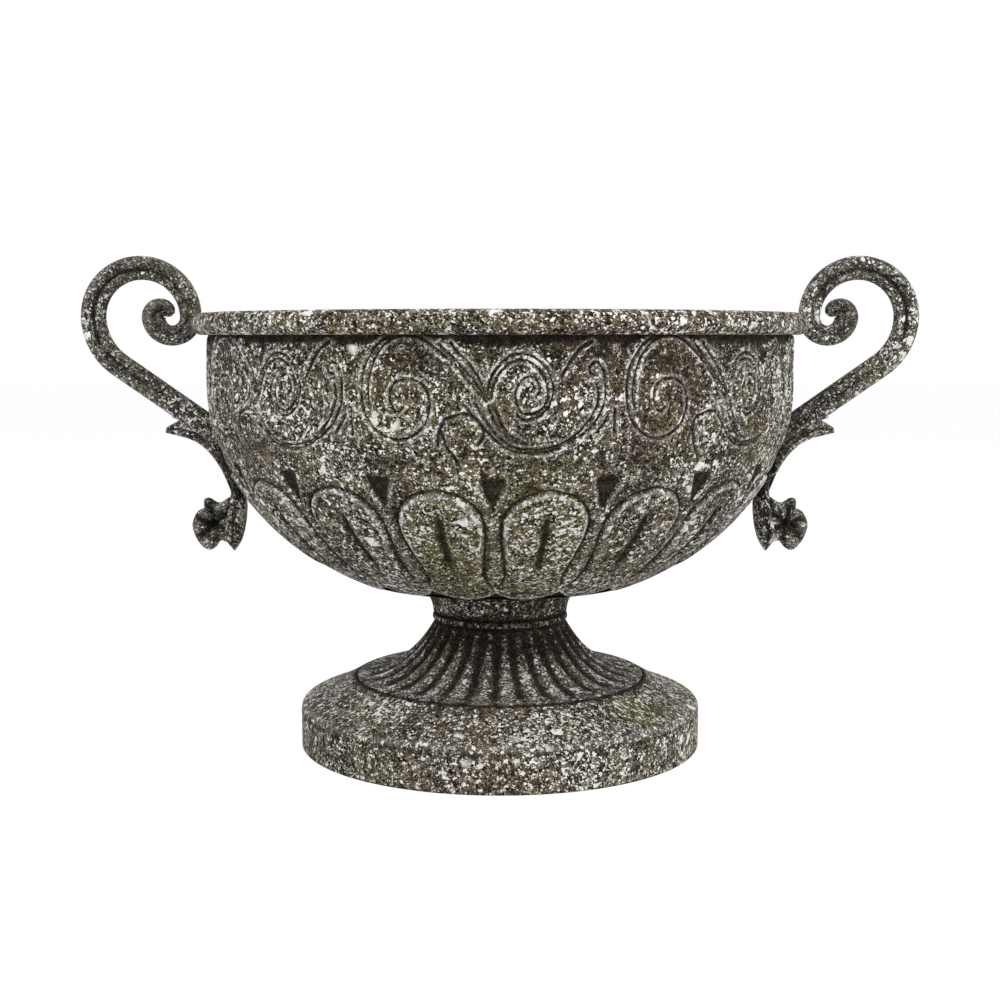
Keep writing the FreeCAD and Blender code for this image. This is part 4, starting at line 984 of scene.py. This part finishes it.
def plinth(finish):
    """The round base, with softened edges and its hollow underside."""
    outline = UNDERSIDE + arc((PLINTH_RADIUS - PLINTH_EDGE, PLINTH_EDGE), PLINTH_EDGE, -90.0, 0.0, 5)
    outline += [(PLINTH_RADIUS, height) for height in np.linspace(*PLINTH_WALL, 12)]
    outline = np.vstack([outline, bezier(SHOULDER, 36), FOOT_RECESS])
    radius, height = outline.T
    # Painted shade in the joint with the foot, in the crease under the shoulder, in the hollow underside and
    # along the floor
    joint_shade = bump_of(radius - PLINTH_JOINT, 2.2) * (height > 34.0)
    crease_shade = 0.6 * bump_of(height - PLINTH_CREASE, 1.0) * (radius > 105.0)
    underside_and_floor_shade = 0.8 * (radius < 77.0) + 0.8 * bump_of(height, 0.8)
    edge = bump_of(np.hypot(radius - WORN_EDGE[0], height - WORN_EDGE[1]), 2.0)
    grime = full(full(joint_shade + crease_shade + underside_and_floor_shade) + 0.35 * edge)
    skin = turned_skin("plinth_casting", outline, PLINTH_COLUMNS, grime, 0.4 * edge)
    skin.data.materials.append(finish)
    finished(skin, "plinth")


# Scroll bar of a handle: start of its middle line beside the rim, and steps from there inwards and outwards
BAR_ARM = (RIM_RADIUS + 3.0, RIM_Z + 4.0)
CURL_STEPS = [(9.8, 180.0), (4.2, 178.0)]
BAR_STEPS = [(25.6, -90.0), (25.6, -90.0), (31.0, -55.0), (67.8, 0.0)]
BAR_HALF = 6.3
BAR_DEPTH = 6.5
# Along the bar from its curled tip: share of the full thickness, strength of the groove's painted shade, and
# painted shade all round
BAR_MARKS = {
    "thickness": [
        (0.0, 0.14), (0.5, 0.34), (1.1, 0.48), (2.2, 0.65), (4.4, 0.82), (8.0, 0.92), (13.2, 0.95),
        (28.6, 0.84), (44.0, 0.87), (83.0, 1.0), (153.0, 1.0), (221.0, 0.98)],
    "groove": [
        (0.0, 0.2), (44.0, 0.3), (70.0, 0.55), (90.0, 1.0), (128.0, 1.0), (150.0, 0.45), (170.0, 0.25),
        (221.0, 0.25)],
    "shade": [(0.0, 0.3), (20.0, 0.12), (44.0, 0.0), (155.0, 0.0), (185.0, 0.2), (221.0, 0.45)],
}
# Half of the bar's section from its outer to its inner edge: across, deep, painted shade and wear
BAR_SECTION = [
    (1.0, 0.0, 0.0, 0.1), (0.97, 0.40, 0.0, 0.1), (0.84, 0.76, 0.0, 0.2), (0.58, 0.96, 0.0, 0.2),
    (0.30, 0.98, 0.0, 0.1), (0.08, 0.88, 0.2, 0.1), (-0.10, 0.70, 0.9, 0.0), (-0.24, 0.68, 0.9, 0.0),
    (-0.40, 0.86, 0.2, 0.1), (-0.62, 0.92, 0.0, 0.1), (-0.84, 0.72, 0.0, 0.1), (-0.97, 0.38, 0.1, 0.0),
    (-1.0, 0.0, 0.3, 0.0)]
# Strap: heights at which it follows the wall, its free end, and shares of its length and full thickness
STRAP_HEIGHTS = [171.0, 164.0, 157.0, 150.0, 145.0, 141.0]
STRAP_STAND = 3.9
STRAP_TAIL = [(140.4, 135.5), (139.9, 129.0), (139.6, 122.0)]
STRAP_THICKNESS = [(0.0, 0.5), (0.08, 0.7), (0.4, 0.78), (0.62, 0.85), (0.9, 0.9), (1.0, 0.5)]
# Strength of the section's painted shade, and painted shade all round
STRAP_GROOVE = 0.6
STRAP_SHADE = 0.3
STRAP_HALF = 3.6
STRAP_DEPTH = 7.4
# The strap's inner side, against the wall, has painted shade
STRAP_SECTION = [
    (1.0, 0.0, 0.0, 0.2), (0.96, 0.30, 0.0, 0.3), (0.80, 0.62, 0.0, 0.1), (0.55, 0.90, 0.0, 0.2),
    (0.20, 1.0, 0.3, 0.0), (-0.40, 1.0, 0.7, 0.0), (-0.9, 0.80, 0.9, 0.0), (-1.0, 0.0, 0.9, 0.0)]
# Leaves of a handle: two edge lines in the handle's upright plane, and half depths from root to tip
LEAVES = {
    "spur_leaf": (
        [(143.0, 137.0), (144.5, 149.0), (149.0, 160.0), (156.0, 167.5), (164.0, 172.0), (170.0, 172.6),
         (176.6, 169.0)],
        [(142.6, 134.0), (144.9, 139.6), (148.6, 147.4), (153.4, 154.4), (159.2, 159.8), (165.4, 162.8),
         (171.4, 164.4), (177.2, 165.8)],
        [5.0, 7.0, 8.0, 8.4, 8.4, 7.0, 3.0]),
    "spur_fork": (
        [(152.0, 170.0), (160.0, 175.4), (167.0, 178.4), (173.4, 177.4)],
        [(152.0, 161.0), (160.0, 167.0), (167.0, 171.4), (173.8, 173.6)],
        [6.4, 7.0, 6.0, 2.6]),
    "leaf_blade": (
        [(135.4, 132.0), (135.0, 127.0), (135.8, 118.0), (138.0, 109.0), (141.6, 102.9)],
        [(143.6, 133.0), (144.6, 127.0), (146.6, 118.0), (147.0, 110.0), (142.6, 102.9)],
        [6.0, 8.2, 9.2, 7.0, 1.0]),
}
LEAF_ROWS = 36
LEAF_COLUMNS = 32
LEAF_STEP = 0.3
LEAF_FULLNESS = 0.8
LEAF_VEIN = 0.16
# Ruffled front of the hanging leaf
RUFFLE_MIDDLE = (151.5, 117.5)
RUFFLE_OUTLINE = [
    (144.5, 131.5), (150.0, 128.6), (155.0, 131.2), (158.0, 130.0), (157.4, 126.4), (161.5, 123.8),
    (164.1, 118.3), (163.4, 112.5), (160.8, 107.0), (156.0, 103.2), (152.2, 104.6), (149.1, 108.2),
    (144.8, 107.6), (142.0, 113.0), (141.8, 123.0)]
RUFFLE_DEPTH = 10.6
RUFFLE_RINGS = 26
RUFFLE_COLUMNS = 96
RUFFLE_FOLDS = 6.0
RUFFLE_RIPPLES = 17.0
RUFFLE_PHASE = 1.1
# Step along a path and least number of steps on one stretch of it
WALK_STEP = 1.1
LEAST_STEPS = 8


def heading_line(angle):
    return np.array([math.cos(angle), math.sin(angle)])


def walk(start, heading, steps):
    """Points along a tangent path.

    A step is a radius with a turn, positive to the left, or a length with no turn."""
    points = [np.array(start)]
    for reach, turn in steps:
        base = points[-1]
        length = abs(math.radians(turn)) * reach if turn else reach
        count = max(int(length / WALK_STEP), LEAST_STEPS)
        share = np.linspace(0.0, 1.0, count + 1)[1:]
        if turn:
            aside = math.radians(heading + math.copysign(90.0, turn))
            swing = math.radians(turn) * share + aside + math.pi
            centre = base + reach * heading_line(aside)
            points += list(centre + reach * np.stack([np.cos(swing), np.sin(swing)], axis=1))
        else:
            points += list(base + heading_line(math.radians(heading)) * (reach * share)[:, None])
        heading += turn
    return np.array(points)


def thread(name, points, closed, marks):
    """An object of edges only, through points in millimetres."""
    count = len(points)
    edges = [(index, (index + 1) % count) for index in range(count if closed else count - 1)]
    return placed(name, marked_mesh(name, points, edges, [], marks))


def along(name, line, marks, section, half, deep, finish):
    """A piece made by a section carried along a line in the handle's plane."""
    whole = np.array(section + [(u, -v, g, w) for u, v, g, w in section[-2:0:-1]])
    flat = np.stack([whole[:, 1] * deep, whole[:, 0] * half, np.zeros(len(whole))], axis=1)
    shape = thread(name + "_section", flat, True, {"grime": whole[:, 2], "wear": whole[:, 3]})
    upright = np.stack([line[:, 0], np.zeros(len(line)), line[:, 1]], axis=1)
    path = thread(name + "_path", upright, False, marks)
    mesh = plain_mesh(name, path, ALONG_TREE, ALONG_SOCKETS, {"Section": shape, "Finish": finish})
    layers = {mark: np.empty(len(mesh.vertices), dtype=np.float32) for mark in ("grime", "groove", "shade")}
    for mark, values in layers.items():
        mesh.attributes[mark].data.foreach_get("value", values)
    # The section's painted shade in the groove and on the inner side, scaled along the path, plus the path's
    # painted shade all round
    grime = full(layers["grime"] * layers["groove"] + layers["shade"])
    mesh.attributes["grime"].data.foreach_set("value", grime)
    for mark in marks:
        mesh.attributes.remove(mesh.attributes[mark])
    discard(path)
    discard(shape)
    return outward(placed(name, mesh))


def even_line(corners, share):
    """Points at shares of the length of a smooth line through the corners."""
    line = smooth_line(corners, LEAF_STEP)
    run = run_along(line)
    return np.stack([np.interp(share * run[-1], run, line[:, axis]) for axis in (0, 1)], axis=1)


def between_rails(name, upper, lower, depths, finish):
    """A closed leaf whose sections span two edge lines in the handle's plane, with a vein on each face."""
    share = np.linspace(0.0, 1.0, LEAF_ROWS)
    top = even_line(upper, share)
    low = even_line(lower, share)
    deep = np.interp(share, np.linspace(0.0, 1.0, len(depths)), depths)
    turn = np.linspace(0.0, 2.0 * math.pi, LEAF_COLUMNS, endpoint=False)
    across = np.cos(turn)
    vein = bump_of(across, LEAF_VEIN)
    reach = np.sign(np.sin(turn)) * np.abs(np.sin(turn)) ** LEAF_FULLNESS * (1.0 - LEAF_VEIN * vein)
    flat = ((top + low) / 2)[:, None, :] + ((top - low) / 2)[:, None, :] * across[None, :, None]
    points = np.stack([flat[..., 0], deep[:, None] * reach[None, :], flat[..., 1]], axis=-1).reshape(-1, 3)
    faces = grid_faces(LEAF_ROWS, LEAF_COLUMNS, closed=True).tolist()
    faces.append(list(range(LEAF_COLUMNS)))
    faces.append(list(range((LEAF_ROWS - 1) * LEAF_COLUMNS, LEAF_ROWS * LEAF_COLUMNS)))
    # Painted shade in the sunk vein on each face, and wear on the edges
    marks = {"grime": np.tile(0.8 * vein, LEAF_ROWS), "wear": np.tile(0.35 * np.abs(across) ** 6, LEAF_ROWS)}
    piece = mesh_piece(name, points, faces, marks)
    piece.data.materials.append(finish)
    return outward(piece)


def ruffle(name, finish):
    """The ruffled front of the hanging leaf: lobes round a sunk middle, with folds between them."""
    closed = np.array(RUFFLE_OUTLINE + RUFFLE_OUTLINE[:2], float) - RUFFLE_MIDDLE
    line = smooth_line(closed, LEAF_STEP)
    angle = np.unwrap(np.arctan2(line[:, 1], line[:, 0]))
    length = np.linalg.norm(line, axis=1)
    turn = np.linspace(0.0, -2.0 * math.pi, RUFFLE_COLUMNS, endpoint=False) + angle[0]
    order = np.argsort(angle)
    edge = np.interp(turn, angle[order], length[order])
    share = np.sin(np.linspace(0.0, math.pi / 2, RUFFLE_RINGS))[:, None]
    fold = 0.5 + 0.5 * np.cos(RUFFLE_FOLDS * turn + RUFFLE_PHASE)[None, :]
    puff = np.sqrt(np.maximum(1.0 - share ** 4, 0.0)) * (0.56 + 0.44 * fold * share)
    sink = bump_of(share, 0.30)
    ripple = 0.10 * np.cos(RUFFLE_RIPPLES * turn)[None, :] * share * (1.0 - share ** 4)
    deep = RUFFLE_DEPTH * full(puff - 0.50 * sink + ripple)
    rim = edge[:, None] * np.stack([np.cos(turn), np.sin(turn)], axis=1)
    flat = np.array(RUFFLE_MIDDLE) + share[..., None] * rim[None]
    # Painted shade in the sunk middle and in the folds between the lobes
    grime = full(0.95 * sink + 0.95 * (1.0 - fold) ** 2 * bump_of(share - 0.62, 0.34))
    wear = full(0.5 * fold * bump_of(share - 0.8, 0.25))
    grid = grid_faces(RUFFLE_RINGS, RUFFLE_COLUMNS, closed=True)
    sides = []
    for side in (-1.0, 1.0):
        sides.append(np.stack([flat[..., 0], side * deep, flat[..., 1]], axis=-1).reshape(-1, 3))
    faces = np.vstack([grid, grid + len(sides[0])])
    marks = {"grime": np.tile(grime.ravel(), 2), "wear": np.tile(wear.ravel(), 2)}
    piece = mesh_piece(name, np.vstack(sides), faces, marks)
    piece.data.materials.append(finish)
    return outward(piece)


def scroll_bar(finish):
    curl = walk(BAR_ARM, -90.0, CURL_STEPS)
    line = np.vstack([curl[:0:-1], walk(BAR_ARM, 90.0, BAR_STEPS)])
    run = run_along(line)
    marks = {mark: np.interp(run, *zip(*stations)) for mark, stations in BAR_MARKS.items()}
    return along("scroll_bar", line, marks, BAR_SECTION, BAR_HALF, BAR_DEPTH, finish)


def strap(finish):
    beside_wall = on_wall(np.full(len(STRAP_HEIGHTS), 90.0), np.array(STRAP_HEIGHTS), STRAP_STAND)
    line = smooth_line(np.vstack([beside_wall[:, [0, 2]], STRAP_TAIL]), 1.2)
    count = len(line)
    marks = {"thickness": np.interp(np.linspace(0.0, 1.0, count), *zip(*STRAP_THICKNESS)),
             "groove": np.full(count, STRAP_GROOVE), "shade": np.full(count, STRAP_SHADE)}
    return along("strap", line, marks, STRAP_SECTION, STRAP_HALF, STRAP_DEPTH, finish)


def mirrored(piece, name):
    """The same piece on the other side of the pot."""
    mesh = piece.data.copy()
    mesh.name = name
    spots = np.empty(len(mesh.vertices) * 3)
    mesh.vertices.foreach_get("co", spots)
    spots[0::3] *= -1.0
    mesh.vertices.foreach_set("co", spots)
    mesh.flip_normals()
    mesh.update()
    return placed(name, mesh)


def handles(finish):
    """Both handles: scroll bar, strap, forked spur leaf and hanging leaf."""
    pieces = {"scroll_bar": scroll_bar(finish), "strap": strap(finish)}
    for name, rails in LEAVES.items():
        pieces[name] = between_rails(name, *rails, finish)
    pieces["leaf_ruffle"] = ruffle("leaf_ruffle", finish)
    for part, piece in pieces.items():
        piece.name = "right_handle_" + part
        piece.data.name = piece.name
        left = mirrored(piece, "left_handle_" + part)
        finished(piece, "right_handle")
        finished(left, "left_handle")


# Fasteners, shown as the CAD nodes that they are
FASTENERS = ("tie_bolt", "tie_bolt_washer", "cross_bar", "cross_bar_washer", "tie_nut", "rim_screws",
             "strap_screws", "screw_washers")


def dress_solid(node, finish):
    """A CAD node that is shown as it is, in its finish."""
    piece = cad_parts[node]
    piece.data.materials.clear()
    piece.data.materials.append(finish)


# Studio, in metres
FLOOR_SIDE = 6.0
FLOOR_GREY = 0.86
FLOOR_GLOW = 1.06
GLOW_SHARE = 0.88
# The floor glows only beside the plinth, so that it doesn't shine up through the drain holes
GLOW_FROM = (0.100, 0.105)
SKY_LIGHT = 0.55
SKY_SEEN = 1.0
# Place, aim, width and power of each lamp
LAMPS = {
    "key lamp": ((-0.9, -1.3, 1.5), (0.0, 0.0, 0.12), 1.1, 18.0),
    "fill lamp": ((1.3, -1.0, 0.9), (0.0, 0.0, 0.12), 1.1, 13.0),
    "back lamp": ((0.2, 1.4, 1.3), (0.0, 0.0, 0.15), 1.0, 10.0),
}
CAMERA_PLACE = (0.0, -0.815, 0.2163)
CAMERA_DOWN = 6.05
CAMERA_LENS = 55.26
CAMERA_SENSOR = 36.0


def pale_floor():
    """A wide pale floor that looks as bright as the background."""
    side = FLOOR_SIDE
    mesh = bpy.data.meshes.new("floor")
    corners = [(-side, -side, 0), (side, -side, 0), (side, side, 0), (-side, side, 0)]
    mesh.from_pydata(corners, [], [(0, 1, 2, 3)])
    pale = bpy.data.materials.new("pale floor")
    tree = emptied(pale)
    path = add_node(tree, "ShaderNodeLightPath")
    cloth = add_node(tree, "ShaderNodeBsdfDiffuse", {"Color": (FLOOR_GREY, FLOOR_GREY, FLOOR_GREY, 1.0)})
    glow = add_node(tree, "ShaderNodeEmission", {"Strength": FLOOR_GLOW})
    seen = add_node(tree, "ShaderNodeMath", operation="MAXIMUM")
    place = add_node(tree, "ShaderNodeTexCoord")
    away = add_node(tree, "ShaderNodeVectorMath", operation="LENGTH")
    limits = {"From Min": GLOW_FROM[0], "From Max": GLOW_FROM[1], "To Max": GLOW_SHARE}
    beside = add_node(tree, "ShaderNodeMapRange", limits)
    bright = add_node(tree, "ShaderNodeMath", operation="MULTIPLY")
    both = add_node(tree, "ShaderNodeMixShader")
    out = add_node(tree, "ShaderNodeOutputMaterial")
    link_all(tree, [
        (path.outputs["Is Camera Ray"], seen.inputs[0]),
        (path.outputs["Is Glossy Ray"], seen.inputs[1]),
        (place.outputs["Object"], away.inputs[0]),
        (away.outputs["Value"], beside.inputs["Value"]),
        (seen.outputs["Value"], bright.inputs[0]),
        (beside.outputs["Result"], bright.inputs[1]),
        (bright.outputs["Value"], both.inputs["Fac"]),
        (cloth.outputs["BSDF"], both.inputs[1]),
        (glow.outputs["Emission"], both.inputs[2]),
        (both.outputs["Shader"], out.inputs["Surface"]),
    ])
    mesh.materials.append(pale)
    placed("floor", mesh)


def white_sky():
    """A white background that lights the pot more softly than it looks."""
    world = bpy.data.worlds.new("studio")
    bpy.context.scene.world = world
    tree = emptied(world)
    path = add_node(tree, "ShaderNodeLightPath")
    seen = add_node(tree, "ShaderNodeMath", operation="MAXIMUM")
    shown = add_node(tree, "ShaderNodeMath", operation="MAXIMUM")
    strength = add_node(tree, "ShaderNodeMapRange", {"To Min": SKY_LIGHT, "To Max": SKY_SEEN})
    sky = add_node(tree, "ShaderNodeBackground", {"Color": (1.0, 1.0, 1.0, 1.0)})
    out = add_node(tree, "ShaderNodeOutputWorld")
    link_all(tree, [
        (path.outputs["Is Camera Ray"], seen.inputs[0]),
        (path.outputs["Is Glossy Ray"], seen.inputs[1]),
        (seen.outputs["Value"], shown.inputs[0]),
        (path.outputs["Is Transmission Ray"], shown.inputs[1]),
        (shown.outputs["Value"], strength.inputs["Value"]),
        (strength.outputs["Result"], sky.inputs["Strength"]),
        (sky.outputs["Background"], out.inputs["Surface"]),
    ])


def lamps():
    """Soft lamps in front on both sides and one behind."""
    for name, (spot, aim, wide, power) in LAMPS.items():
        lamp = bpy.data.lights.new(name, "AREA")
        lamp.size = wide
        lamp.energy = power
        holder = placed(name, lamp)
        holder.location = spot
        away = [a - b for a, b in zip(spot, aim)]
        flat = math.hypot(away[0], away[1])
        holder.rotation_euler = (math.atan2(flat, away[2]), 0.0, math.atan2(away[0], -away[1]))


def front_camera():
    """The camera at the photograph's viewing angle."""
    view = bpy.data.cameras.new("camera")
    view.sensor_width = CAMERA_SENSOR
    view.lens = CAMERA_LENS
    camera = placed("camera", view)
    camera.location = CAMERA_PLACE
    camera.rotation_euler = (math.radians(90.0 - CAMERA_DOWN), 0.0, 0.0)
    bpy.context.scene.camera = camera
    bpy.context.scene.view_settings.view_transform = "Standard"


frieze(BODY_IRON)
tongues(BODY_IRON)
strap_fields(BODY_IRON)
rim_and_lining(BODY_IRON)
drained_floor(BODY_IRON)
neck(BODY_IRON)
flared_foot(BODY_IRON)
plinth(BODY_IRON)
handles(HANDLE_IRON)
for fastener in FASTENERS:
    dress_solid(fastener, RUSTY_STEEL)
pale_floor()
white_sky()
lamps()
front_camera()
